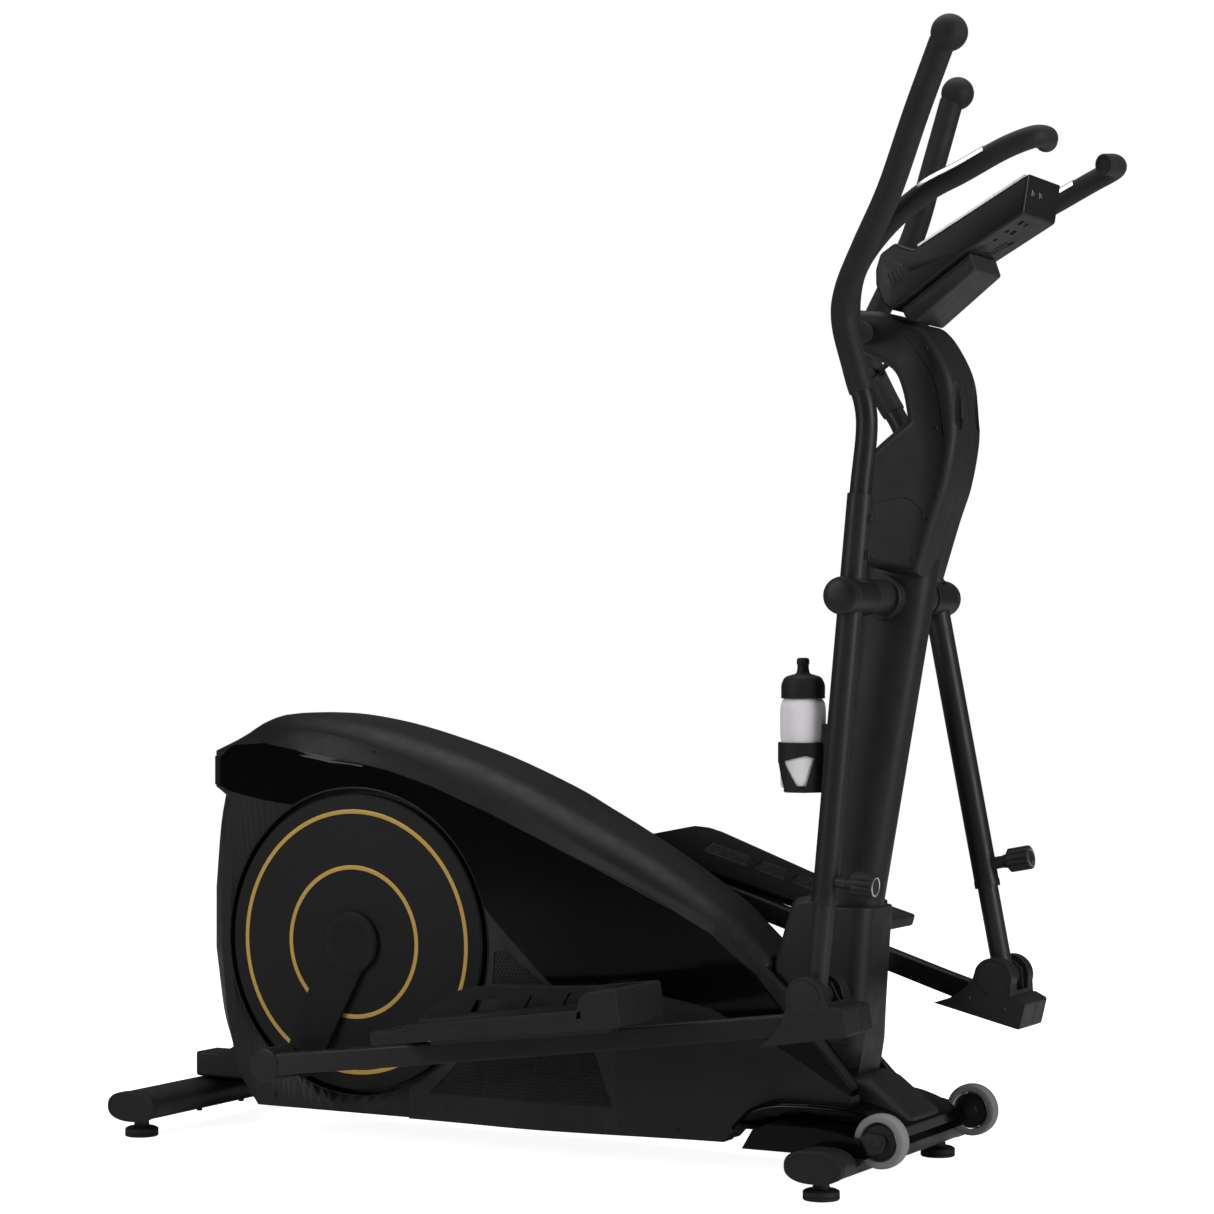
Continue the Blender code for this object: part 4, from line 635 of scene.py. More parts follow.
for side, sign in SIDES.items():
    body = side + "_swing"
    place = SWING[side]
    y = sign * ARM_Y
    path = curve([(u, sign * (ARM_Y + out), w) for u, out, w in HANDLE], HANDLE_STEPS)
    tube = made(side + "_lever_tube", loft(swept(path, 0.0160, steps=32)), place)
    put(tube, PAINT, body, side + "_handle_tube")
    first = GRIP_START * HANDLE_STEPS - HANDLE_STEPS // 2
    grip_path = path[first:]
    radii = [0.0188] * len(grip_path)
    radii[0] = 0.0163
    grip_path.insert(1, grip_path[0].lerp(grip_path[1], 0.12))
    radii.insert(1, 0.0184)
    grip = loft(swept(grip_path, radii, steps=40))
    ball = Vector((BALL[0], sign * (ARM_Y + BALL[1]), BALL[2]))
    sphere = bmesh.new()
    bmesh.ops.create_uvsphere(sphere, u_segments=48, v_segments=32, radius=0.0262)
    bmesh.ops.translate(sphere, verts=sphere.verts, vec=ball)
    put(made(side + "_foam", merge([grip, sphere]), place), FOAM, body, side + "_grip")
    barrel = [(0.0122, 0.1112), (0.0270, 0.1112), (0.0285, 0.1122), (0.0285, 0.1165), (0.0280, 0.1172), (0.0280, 0.1855), (0.0274, 0.1862)]
    barrel += [(0.0280, 0.1869), (0.0280, 0.1930), (0.0268, 0.1985), (0.0225, 0.2018), (0.0130, 0.2029), (0, 0.2031), (0, 0.1950), (0.0122, 0.1950)]
    hub = turned([(r, sign * h) for r, h in barrel], 64, closed=False)
    lower = loft(swept([(0, y, -0.012), (0, y, -0.440), (0, y, -0.4415), (0, y, -0.4500), (0, y, -0.4520)], [0.0190, 0.0190, 0.0198, 0.0198, 0.0192], steps=40))
    sleeve = loft(swept([(0, y, 0.012), (0, y, 0.1485), (0, y, 0.1500)], [0.0190, 0.0190, 0.0182], steps=40))
    boss = cylinder(0.0095, 0.0170, 0.0340, "X", (0, y, -0.4176), 28)
    weld_bead = turned([(0.0160, 0.0195), (0.0225, 0.0215), (0.0190, 0.0270), (0.0160, 0.0270)], 40, "Z", (0, y, 0))
    put(made(side + "_swing_tube", merge([hub, lower, sleeve, boss, weld_bead]), place), PAINT, body, side + "_swing_arm")
    bolts = []
    for w in (0.114, 0.061):
        bolts += hex_bolt(0.0188, y, w)
    put(made(side + "_lever_bolts", merge(bolts), place), PAINT, body)
    inner = loft(swept([(0, y, -0.250), (0, y, -0.578)], 0.0158, steps=36))
    eye = [(0.0064, -0.0160), (0.0188, -0.0160), (0.0200, -0.0148), (0.0200, 0.0148), (0.0188, 0.0160), (0.0064, 0.0160)]
    eye = turned(eye, 48, "Y", (0, y, -ROCKER))
    put(made(side + "_slide_tube", merge([inner, eye]), place), PAINT, side + "_link", side + "_inner_tube")
    rings = []
    for along, scale, flute in (
        (0.0344, 0.50, 0), (0.0350, 0.56, 0), (0.0420, 0.60, 0), (0.0435, 0.90, 0.4), (0.0450, 1.0, 1), (0.0600, 1.0, 1),
        (0.0755, 1.0, 1), (0.0780, 0.95, 0.6), (0.0788, 0.86, 0), (0.0788, 0.80, 0), (0.0776, 0.78, 0),
    ):
        ring = []
        for k in range(96):
            angle = 2 * math.pi * k / 96
            depth = 1 - 0.10 * flute * max(0.0, math.cos(12 * angle)) ** 2
            radius = 0.0185 * scale * depth
            ring.append(Vector((along, y + radius * math.cos(angle), -0.4176 + radius * math.sin(angle))))
        rings.append(ring)
    stem = cylinder(0.0040, 0.0170, 0.0400, "X", (0, y, -0.4176), 20)
    put(made(side + "_knob", merge([loft(rings), stem]), place, 50), MATTE, side + "_knob", side + "_adjust_knob")
    ring = [(0.0118, 0.0772), (0.0146, 0.0772), (0.0146, 0.0790), (0.0140, 0.0794), (0.0124, 0.0794), (0.0118, 0.0790)]
    put(made(side + "_knob_ring", turned(ring, 56, "X", (0, y, -0.4176)), place), CHROME, side + "_knob")

# ---- pedal bars, pivot covers and footplates ----------------------------------------------------------
BAR_CORNERS = ((-0.931, 0.235, 0), (-0.700, 0.235, -0.0101), (-0.060, 0.158, -0.0379), (0.030, 0.158, -0.0405))


def rounded_route(points, radius, steps=8):
    points = [Vector(p) for p in points]
    path = [points[0]]
    for before, corner, after in zip(points, points[1:], points[2:]):
        start = corner + (before - corner).normalized() * radius
        end = corner + (after - corner).normalized() * radius
        path += [start.lerp(corner, k / steps).lerp(corner.lerp(end, k / steps), k / steps) for k in range(steps + 1)]
    return path + [points[-1]]


CLEVIS = [(-0.084, -0.063), (-0.060, -0.048), (-0.043, -0.030), (-0.031, -0.010)]
CLEVIS += [(0.031 * math.cos(math.radians(165 - 7 * k)), 0.031 * math.sin(math.radians(165 - 7 * k))) for k in range(25)]
CLEVIS += [(0.036, -0.018), (0.040, -0.0165), (0.058, -0.0205), (0.060, -0.0235), (0.060, -0.0605), (0.058, -0.063)]
TREAD_LOW, TREAD_TOP = 0.0173, 0.0373
REAR, FRONT, INNER, OUTER = -0.672, -0.235, -0.070, 0.073
for side, sign in SIDES.items():
    body = side + "_pedal"
    place = PEDAL[side]
    route = rounded_route([(x, sign * y, z) for x, y, z in BAR_CORNERS], 0.05)
    section = rounded_section(0.0125, 0.0170, 0.0045)
    pieces = [loft(swept(route, 0, (0, 1, 0), section=section))]
    hub = [(0, 0.1900), (0.0255, 0.1900), (0.0265, 0.1910), (0.0265, 0.2440), (0.0258, 0.2447), (0.0265, 0.2454), (0.0262, 0.2480), (0.0240, 0.2498), (0, 0.2505)]
    pieces.append(turned([(r, sign * h) for r, h in hub], 72, "Y", (-COUPLER, 0, 0), closed=False))
    pieces.append(cylinder(0.0062, sign * 0.1370, sign * 0.1790, "Y", (0, 0, 0), 32))
    for ear in (0.1385, 0.1775):
        outline = [(-0.045, -0.055), (0.030, -0.055), (0.030, -0.020), (0.018, 0.016), (0.0, 0.024), (-0.018, 0.016), (-0.045, -0.025)]
        pieces.append(prism(outline, sign * (ear - 0.003), sign * (ear + 0.003)))
    pieces.append(block((-0.045, min(sign * 0.1385, sign * 0.1775), -0.055), (0.030, max(sign * 0.1385, sign * 0.1775), -0.0245)))
    put(made(side + "_bar", merge(pieces), place), PAINT, body, side + "_pedal_bar")
    for name, inner, outer in (("inner", 0.1578, 0.1085), ("outer", 0.1582, 0.2025)):
        cover = made(f"{side}_{name}_cover", prism(CLEVIS, sign * inner, sign * outer), place)
        low, high = (0.1348, 0.1700) if name == "inner" else (0.1400, 0.1812)
        carve(cover, made("cutter", block((-0.12, min(sign * low, sign * high), -0.0585), (0.0335, max(sign * low, sign * high), 0.05)), place))
        soften(cover, 0.0035, 3)
        reach = 1 if name == "outer" else -1
        cap = [(0, -0.003), (0.0245, -0.003), (0.0245, 0.0006), (0.0235, 0.0014), (0, 0.0018)]
        details = [turned([(r, sign * (outer + reach * h)) for r, h in cap], 64, closed=False)]
        details += [screw_head(x, sign * outer, z, 0.0034, "Y", sign * reach) for x, z in ((-0.030, -0.040), (0.028, -0.040))]
        cover = join(cover, made("tool", details[0], place))
        put(cover, MATTE, body, f"{side}_{name}_clevis_cover")
        put(made(f"{side}_{name}_cover_screws", merge(details[1:]), place), PAINT, body)
    plate_place = TREAD[side]

    def across(low, high):
        return sorted((sign * low, sign * high))

    low, high = across(-0.0430, -0.0230)
    put(made(side + "_foot_bracket", block((-0.620, low, 0.0040), (-0.300, high, 0.0170)), plate_place), PAINT, body)
    plan = [(REAR, INNER + 0.02), (REAR + 0.012, INNER + 0.004), (REAR + 0.03, INNER), (FRONT, INNER), (FRONT, OUTER), (REAR + 0.012, OUTER), (REAR + 0.003, OUTER - 0.004), (REAR, OUTER - 0.012)]
    plate = made(side + "_tread", loft([[Vector((x, sign * y, z)) for x, y in plan] for z in (TREAD_LOW, TREAD_TOP)]), plate_place)
    soften(plate, 0.004, 3)
    low, high = across(INNER + 0.012, OUTER - 0.010)
    pocket = made("cutter", block((REAR + 0.016, low, TREAD_TOP - 0.0030), (FRONT - 0.012, high, TREAD_TOP + 0.02)), plate_place)
    carve(plate, pocket)
    side_wall = [(REAR + 0.004, TREAD_TOP - 0.008), (REAR + 0.008, TREAD_TOP + 0.006), (REAR + 0.080, TREAD_TOP + 0.043), (REAR + 0.105, TREAD_TOP + 0.048), (REAR + 0.130, TREAD_TOP + 0.0485)]
    side_wall += [(REAR + 0.300, TREAD_TOP + 0.036), (FRONT - 0.01, TREAD_TOP + 0.037), (FRONT, TREAD_TOP + 0.033), (FRONT, TREAD_TOP - 0.008)]
    flank = made("tool", prism(side_wall, sign * INNER, sign * (INNER + 0.008)), plate_place)
    for start, end in ((0.104, 0.190), (0.200, 0.258), (0.268, 0.326)):
        window = [(REAR + start, TREAD_TOP + 0.010), (REAR + start + 0.014, TREAD_TOP + 0.028), (REAR + end, TREAD_TOP + 0.028), (REAR + end, TREAD_TOP + 0.010)]
        carve(flank, made("cutter", prism(window, sign * (INNER - 0.02), sign * (INNER + 0.02)), plate_place))
    soften(flank, 0.0018, 2)
    toe = [(FRONT - 0.075, TREAD_TOP - 0.006), (FRONT - 0.062, TREAD_TOP + 0.028), (FRONT - 0.050, TREAD_TOP + 0.0355), (FRONT, TREAD_TOP + 0.037), (FRONT, TREAD_TOP - 0.006)]
    toe_box = made("tool", prism(toe, sign * (INNER + 0.001), sign * OUTER), plate_place)
    low, high = across(INNER + 0.007, OUTER - 0.009)
    carve(toe_box, made("cutter", block((FRONT - 0.12, low, TREAD_TOP - 0.002), (FRONT - 0.010, high, TREAD_TOP + 0.07)), plate_place))
    soften(toe_box, 0.003, 3)
    outer_lip = made("tool", prism([(REAR + 0.050, TREAD_TOP - 0.004), (REAR + 0.070, TREAD_TOP + 0.006), (FRONT - 0.06, TREAD_TOP + 0.010), (FRONT - 0.06, TREAD_TOP - 0.004)], sign * (OUTER - 0.008), sign * OUTER), plate_place)
    soften(outer_lip, 0.002, 2)
    put(join(plate, flank, toe_box, outer_lip), RUBBER, body, side + "_footplate")
    ribs = []
    for k in range(9):
        y = INNER + 0.019 + k * 0.0128
        low, high = across(y, y + 0.0062)
        ribs.append(block((REAR + 0.026, low, TREAD_TOP - 0.0032), (FRONT - 0.080, high, TREAD_TOP - 0.0006)))
    for row in range(12):
        for column in range(8):
            x, y = REAR + 0.044 + row * 0.0265, sign * (INNER + 0.0286 + column * 0.0128)
            ribs.append(turned([(0, TREAD_TOP - 0.0030), (0.0021, TREAD_TOP - 0.0030), (0.0021, TREAD_TOP - 0.0006), (0, TREAD_TOP - 0.0004)], 10, "Z", (x, y, 0)))
    put(made(side + "_tread_pattern", merge(ribs), plate_place), RUBBER, body)

# ---- mast and its covers -----------------------------------------------------------------------------
MAST_FOOT, MAST_TOP = Vector((0.762, 0, 0.1141)), Vector((0.911, 0, 1.040))
HUB = (0.8834, 0, 0.872)
HANDLEBAR_CENTRE = (0.858, 0, 1.268)


def mast_ring(t, growth=0.0, steps=72):
    centre = MAST_FOOT.lerp(MAST_TOP, t)
    half_x, half_y = 0.047 + 0.015 * min(1.0, t / 0.8) + growth, 0.040 + growth
    ring = []
    for k in range(steps):
        c, s = math.cos(2 * math.pi * k / steps), math.sin(2 * math.pi * k / steps)
        ring.append(centre + Vector((half_x * math.copysign(abs(c) ** 0.9, c), half_y * math.copysign(abs(s) ** 0.9, s), 0)))
    return ring


column = [loft([mast_ring(k / 16) for k in range(17)])]
column.append(cylinder(0.0265, -0.1080, 0.1080, "Y", HUB, 64))
for sign in (-1, 1):
    collar = [(0.0265, 0.0200), (0.0335, 0.0200), (0.0335, 0.0548), (0.0323, 0.0560), (0.0265, 0.0560)]
    column.append(turned([(r, sign * h) for r, h in collar], 72, "Y", HUB))
    flange = [(0.0265, 0.0975), (0.0272, 0.0980), (0.0272, 0.1060), (0.0265, 0.1065)]
    column.append(turned([(r, sign * h) for r, h in flange], 72, "Y", HUB))
neck = rounded_route([(0.912, 0, 1.000), (0.962, 0, 1.100), (0.958, 0, 1.195), (0.915, 0, 1.262), HANDLEBAR_CENTRE], 0.03)
column.append(loft(swept(neck, 0.0180, steps=32)))
clamp = [(0.0165, -0.0330), (0.0225, -0.0330), (0.0232, -0.0322), (0.0232, 0.0322), (0.0225, 0.0330), (0.0165, 0.0330)]
column.append(turned(clamp, 48, "Y", HANDLEBAR_CENTRE))
put(made("mast_column", merge(column)), PAINT, "frame", "mast")

sleeve_rings = []
for z, low, high, half, corner in (
    (0.1530, 0.708, 0.8385, 0.0575, 0.020), (0.1540, 0.706, 0.8400, 0.0585, 0.020), (0.2030, 0.740, 0.8495, 0.0585, 0.024),
    (0.2550, 0.765, 0.8530, 0.0580, 0.026), (0.3400, 0.780, 0.8590, 0.0570, 0.026), (0.4040, 0.786, 0.8640, 0.0565, 0.026),
    (0.4062, 0.787, 0.8632, 0.0557, 0.026), (0.4070, 0.789, 0.8615, 0.0540, 0.026),
):
    middle, reach = (low + high) / 2, (high - low) / 2
    sleeve_rings.append([Vector((middle + a, b, z)) for a, b in rounded_section(reach, half, corner, 8)])
sleeve = made("mast_foot_sleeve", loft(sleeve_rings), MACHINE, 30)
notch = [(0.8000, 0.1580), (0.8427, 0.1690), (0.8600, 0.1990), (0.8700, 0.1990), (0.8700, 0.1400), (0.8000, 0.1400)]
carve(sleeve, machine_prism(notch, 0.040, 0.070), machine_prism(notch, -0.040, -0.070))
for height in (0.2010,):
    carve(sleeve, machine_box((0.69, -0.07, height), (0.87, -0.0572, height + 0.0012)), machine_box((0.69, 0.0572, height), (0.87, 0.07, height + 0.0012)))
put(sleeve, MATTE, "frame", "mast_lower_cover")
fairing_line = [(0.696, 0.285), (0.702, 0.310), (0.720, 0.370), (0.733, 0.409), (0.742, 0.418), (0.768, 0.4235), (0.778, 0.418), (0.791, 0.402), (0.791, 0.160), (0.703, 0.160)]
fairing = soften(made("mast_foot_fairing", prism(fairing_line, -0.050, 0.050)), 0.013, 5, 40)
put(fairing, SATIN)

UPPER_COVER = (
    (0.838, 0.925), (0.885, 0.911), (0.946, 0.901), (0.973, 0.985), (0.991, 1.036), (1.003, 1.096),
    (1.004, 1.138), (0.996, 1.198), (0.973, 1.246), (0.948, 1.275), (0.915, 1.284), (0.885, 1.298),
    (0.845, 1.303), (0.830, 1.285), (0.832, 1.252), (0.853, 1.237), (0.898, 1.212), (0.915, 1.180),
    (0.924, 1.135), (0.872, 1.095), (0.845, 1.060),
)
dense = smooth_run([(x, z, 0) for x, z in UPPER_COVER + UPPER_COVER[:1]], {0, 2, 12, 13, 14, 18, 20}, 5)[:-1]
dense = [(p.x, p.y) for p in dense]
cover_rings = []
for y, trim in ((0.0004, 0.0), (0.038, 0.0), (0.045, 0.0014), (0.0500, 0.0040), (0.0535, 0.0080), (0.0550, 0.0115), (0.0555, 0.0150)):
    cover_rings.append([Vector((x, -y, z)) for x, z in inset(dense, trim)])
cover = made("right_mast_cover", loft(cover_rings), MACHINE, 40)


def groove(points, radius, steps=14):
    return made("cutter", loft(swept(curve(points, 4), radius, (0, 1, 0), steps)))


seam_line = [(0.878, -0.0562, 1.312), (0.8968, -0.0562, 1.2952), (0.9402, -0.0560, 1.2395), (0.9721, -0.0556, 1.1862), (0.9831, -0.0550, 1.1237), (0.9900, -0.0530, 1.0850)]
collar_line = [(0.8300, -0.0560, 1.0040), (0.8711, -0.0560, 1.0107), (0.9276, -0.0560, 1.0183), (0.9600, -0.0556, 0.9850), (0.9900, -0.0540, 0.9560)]
drop_bm = bmesh.new()
bmesh.ops.create_uvsphere(drop_bm, u_segments=40, v_segments=24, radius=1.0)
for vertex in drop_bm.verts:
    narrow = 1.0 - 0.35 * vertex.co.z
    vertex.co = Vector((1.004 + vertex.co.x * 0.016 * narrow, -0.037 + vertex.co.y * 0.013 * narrow, 1.160 + vertex.co.z * 0.043))
carve(cover, groove(seam_line, 0.0013), groove(collar_line, 0.0013), made("cutter", drop_bm))
put(cover, SATIN, "frame", "right_upper_cover")
mirrored(cover, "left_mast_cover", SATIN, "left_upper_cover")
heads = []
for sign in (-1, 1):
    for x, z, y in ((0.958, 1.240, 0.0551), (0.974, 1.121, 0.0555), (0.974, 1.021, 0.0545), (0.953, 0.990, 0.0553), (0.936, 0.927, 0.0551)):
        heads.append(screw_head(x, sign * y, z, 0.0036, "Y", sign))
put(made("mast_cover_screws", merge(heads)), MATTE)
rod = rounded_route([(0.9020, 0, 1.2440), (0.8850, 0, 1.2330), (0.8560, 0, 1.2120)], 0.006)
tee = [(0, -0.0180), (0.0068, -0.0175), (0.0085, -0.0150), (0.0072, -0.0050), (0.0072, 0.0050), (0.0085, 0.0150), (0.0068, 0.0175), (0, 0.0180)]
clamp_parts = [loft(swept(rod, 0.0042, steps=20)), turned(tee, 32, "Y", (0.8530, 0, 1.2102)), cylinder(0.0075, -0.007, 0.007, "Y", (0.8850, 0, 1.2330), 28)]
put(made("tilt_clamp_knob", merge(clamp_parts)), MATTE)

# ---- fixed handlebar ---------------------------------------------------------------------------------
BAR_ROUTE = (
    (0.858, 0.000, 1.268), (0.858, 0.070, 1.268), (0.862, 0.115, 1.285), (0.892, 0.162, 1.345),
    (0.945, 0.184, 1.400), (1.010, 0.186, 1.449), (1.070, 0.185, 1.476), (1.130, 0.183, 1.504),
    (1.170, 0.172, 1.519), (1.180, 0.145, 1.522), (1.172, 0.122, 1.520),
)
half = curve(BAR_ROUTE, 8)
whole = [Vector((p.x, -p.y, p.z)) for p in reversed(half[1:])] + half
bars = [loft(swept(whole, 0.0162, (0, 0, 1), 40))]
for sign in (-1, 1):
    end = Vector((half[-1].x, sign * half[-1].y, half[-1].z))
    inward = (end - Vector((half[-2].x, sign * half[-2].y, half[-2].z))).normalized()
    rim = bmesh.new()
    profile = [(0.0162, 0), (0.0158, 0.0016), (0.0142, 0.0026), (0.0120, 0.0022), (0.0105, 0.0004), (0.0060, -0.0008), (0, -0.0010)]
    rim = turned([(0, -0.004), (0.0161, -0.004)] + profile, 40, "Z", closed=False)
    bmesh.ops.transform(rim, matrix=inward.to_track_quat("Z", "Y").to_matrix().to_4x4(), verts=rim.verts)
    bmesh.ops.translate(rim, verts=rim.verts, vec=end)
    bars.append(rim)
put(made("fixed_bar", merge(bars)), FOAM, "frame", "fixed_handlebar")
plates = []
for sign in (-1, 1):
    strip = [Vector((p.x, sign * p.y, p.z)) for p in half[40:54]]
    arc = [(0.0172 * math.cos(math.radians(k)), 0.0172 * math.sin(math.radians(k))) for k in range(20, 161, 10)]
    arc += [(0.0155 * math.cos(math.radians(k)), 0.0155 * math.sin(math.radians(k))) for k in range(160, 19, -10)]
    plates.append(loft(swept(strip, 0, (0, 1, 0), section=arc)))
put(made("pulse_plates", merge(plates)), CHROME)

# ---- console and its bracket ---------------------------------------------------------------------------
CONSOLE = turned_frame(0.6295, 1.432, 28.7)
CONSOLE_OUTLINE = (
    (0.112, 0.000), (0.076, -0.047), (-0.030, -0.047), (-0.150, -0.0595), (-0.172, -0.0595),
    (-0.1775, -0.042), (-0.173, -0.013), (-0.163, 0.006), (-0.145, 0.023), (-0.117, 0.025),
    (-0.106, 0.010), (-0.096, 0.000),
)
slab = soften(made("console_case", prism(CONSOLE_OUTLINE, -0.066, 0.066), CONSOLE), 0.0045, 4, 25)


def console_cut(bm):
    return made("cutter", bm, CONSOLE)


cuts = [console_cut(block((-0.0780, -0.0540, -0.0020), (0.0960, 0.0540, 0.010)))]
seam_box = block((-0.20, -0.0655, -0.0196), (0.12, 0.0655, -0.0184))
end_normal = Vector((0.047, 0, -0.036)).normalized()
for y in (-0.040, -0.010):
    socket = turned([(0, -0.010), (0.0078, -0.010), (0.0078, 0.020), (0, 0.020)], 36, "Z", closed=False)
    bmesh.ops.transform(socket, matrix=end_normal.to_track_quat("Z", "Y").to_matrix().to_4x4(), verts=socket.verts)
    bmesh.ops.translate(socket, verts=socket.verts, vec=Vector((0.0955, y, -0.0210)))
    cuts.append(console_cut(socket))
for u, v, width, height in ((0.052, -0.040, 0.010, 0.012), (0.052, -0.016, 0.008, 0.009), (0.030, -0.042, 0.007, 0.012), (0.030, -0.022, 0.010, 0.014), (0.008, -0.038, 0.006, 0.010), (0.008, 0.020, 0.010, 0.012)):
    cuts.append(console_cut(block((u, v, -0.060), (u + width, v + height, -0.0445))))
for k in range(7):
    cuts.append(console_cut(block((-0.016 + k * 0.0045, 0.000, -0.060), (-0.0138 + k * 0.0045, 0.030, -0.0455))))
for k in range(5):
    cuts.append(console_cut(block((-0.150 + k * 0.007, -0.080, -0.026), (-0.1465 + k * 0.007, -0.0648, -0.012))))
carve(slab, *cuts)
put(slab, CASE, "frame", "console")
glass = soften(made("console_screen", block((-0.0770, -0.0530, -0.0026), (0.0950, 0.0530, -0.0008)), CONSOLE), 0.0006, 2)
put(glass, SCREEN)
frame_outer = made("console_screen_rim", block((-0.0880, -0.0658, -0.0006), (0.1040, 0.0658, 0.0030)), CONSOLE)
carve(frame_outer, console_cut(block((-0.0775, -0.0535, -0.01), (0.0955, 0.0535, 0.01))))
put(soften(frame_outer, 0.0006, 2), TRIM)
sockets = [turned([(0.0050, -0.003), (0.0072, -0.003), (0.0072, 0.0), (0.0066, 0.0008), (0.0056, 0.0008), (0.0050, 0.0)], 36, "Z") for _ in range(2)]
for socket, y in zip(sockets, (-0.040, -0.010)):
    bmesh.ops.transform(socket, matrix=end_normal.to_track_quat("Z", "Y").to_matrix().to_4x4(), verts=socket.verts)
    bmesh.ops.translate(socket, verts=socket.verts, vec=Vector((0.0955, y, -0.0210)) - end_normal * 0.0035)
put(made("console_sockets", merge(sockets), CONSOLE), STEEL)
BRACKET_OUTLINE = (
    (-0.026, -0.0475), (-0.0305, -0.0745), (-0.149, -0.0935), (-0.1605, -0.0780),
    (-0.160, -0.0600), (-0.150, -0.0600), (-0.030, -0.0475),
)
bracket = soften(made("console_cradle", prism(BRACKET_OUTLINE, -0.052, 0.052), CONSOLE), 0.0045, 4, 20)
# The cradle takes the lighter colour, which is painted bounce light on the console's underside.
put(bracket, BOUNCE_LIT_BRACKET, "frame", "console_bracket")

# ---- bottle and cage -------------------------------------------------------------------------------------
STAND = Matrix.Translation((CRANK_X + 0.732, 0, 0.580))
body = [
    (0, 0.001), (0.0290, 0.001), (0.0330, 0.003), (0.0346, 0.007), (0.0350, 0.020), (0.0350, 0.045), (0.0345, 0.053), (0.0335, 0.060),
    (0.0333, 0.066), (0.0335, 0.072), (0.0345, 0.079), (0.0350, 0.087), (0.0350, 0.116), (0.0347, 0.124), (0.0335, 0.131), (0.0312, 0.136), (0.0290, 0.138),
    (0.0290, 0.150), (0, 0.150),
]
put(made("bottle_body", turned(body, 96, "Z", closed=False), STAND), BOTTLE, "bottle", "water_bottle")
cap = [(0, 0.1503), (0.0293, 0.1503), (0.0293, 0.1385), (0.0332, 0.1385), (0.0336, 0.1392), (0.0336, 0.1425), (0.0330, 0.1432), (0.0336, 0.1440)]
cap += [(0.0336, 0.1575), (0.0326, 0.1620), (0.0295, 0.1690), (0.0250, 0.1725), (0.0115, 0.1765), (0.0098, 0.1790), (0.0088, 0.1850), (0.0088, 0.1900)]
cap += [(0.0098, 0.1915), (0.0098, 0.1965), (0.0085, 0.2000), (0.0050, 0.2008), (0, 0.2008)]
lid = turned(cap, 96, "Z", closed=False)
for vertex in lid.verts:
    if 0.1445 < vertex.co.z < 0.1600 and math.hypot(vertex.co.x, vertex.co.y) > 0.032:
        notch_depth = 0.0006 * (round(math.atan2(vertex.co.y, vertex.co.x) * 96 / (2 * math.pi)) % 2)
        vertex.co.x *= 1 - notch_depth / 0.0336
        vertex.co.y *= 1 - notch_depth / 0.0336
put(made("bottle_lid", lid, STAND, 60), RUBBER, "bottle", "bottle_cap")
cage = made("cage_frame", turned([(0.0357, -0.004), (0.0385, -0.004), (0.0385, 0.0700), (0.0379, 0.0718), (0.0363, 0.0718), (0.0357, 0.0700)], 96, "Z"), STAND)
through = 0.06
carve(
    cage,
    made("cutter", prism([(-0.060, 0.046), (-0.030, 0.040), (-0.012, -0.010), (-0.060, -0.010)], -through, through), STAND),
    made("cutter", prism([(-0.0180, 0.0430), (0.0200, 0.0520), (0.0300, 0.0480), (0.0200, 0.0060), (0.0060, 0.0060)], -through, through), STAND),
)
soften(cage, 0.0008, 2)
base = [block((0.0100, -0.0090, -0.0040), (0.0420, 0.0090, 0.0005)), block((0.0357, -0.0100, -0.0040), (0.0430, 0.0100, 0.1000)), cylinder(0.0300, -0.0040, 0.0005, "Z", (0, 0, 0), 48)]
base += [block((-0.0100, -0.0385, -0.0040), (0.0220, 0.0385, 0.0005)), prism([(0.040, 0.010), (0.0640, 0.010), (0.0760, 0.080), (0.040, 0.080)], -0.008, 0.008)]
stay = soften(made("cage_stay", merge(base), STAND), 0.0010, 2)
put(cage, RUBBER, "frame", "bottle_cage")
put(stay, RUBBER)

# ---- floor frame -------------------------------------------------------------------------------------------
TUBE_Z = 0.050
OVAL = (0.045, 0.0235)


def oval(scale_x, scale_z, x, y, steps=64):
    ring = []
    for k in range(steps):
        c, s = math.cos(2 * math.pi * k / steps), math.sin(2 * math.pi * k / steps)
        c, s = math.copysign(abs(c) ** 0.82, c), math.copysign(abs(s) ** 0.82, s)
        ring.append(Vector((x + scale_x * c, y, TUBE_Z + scale_z * s)))
    return ring


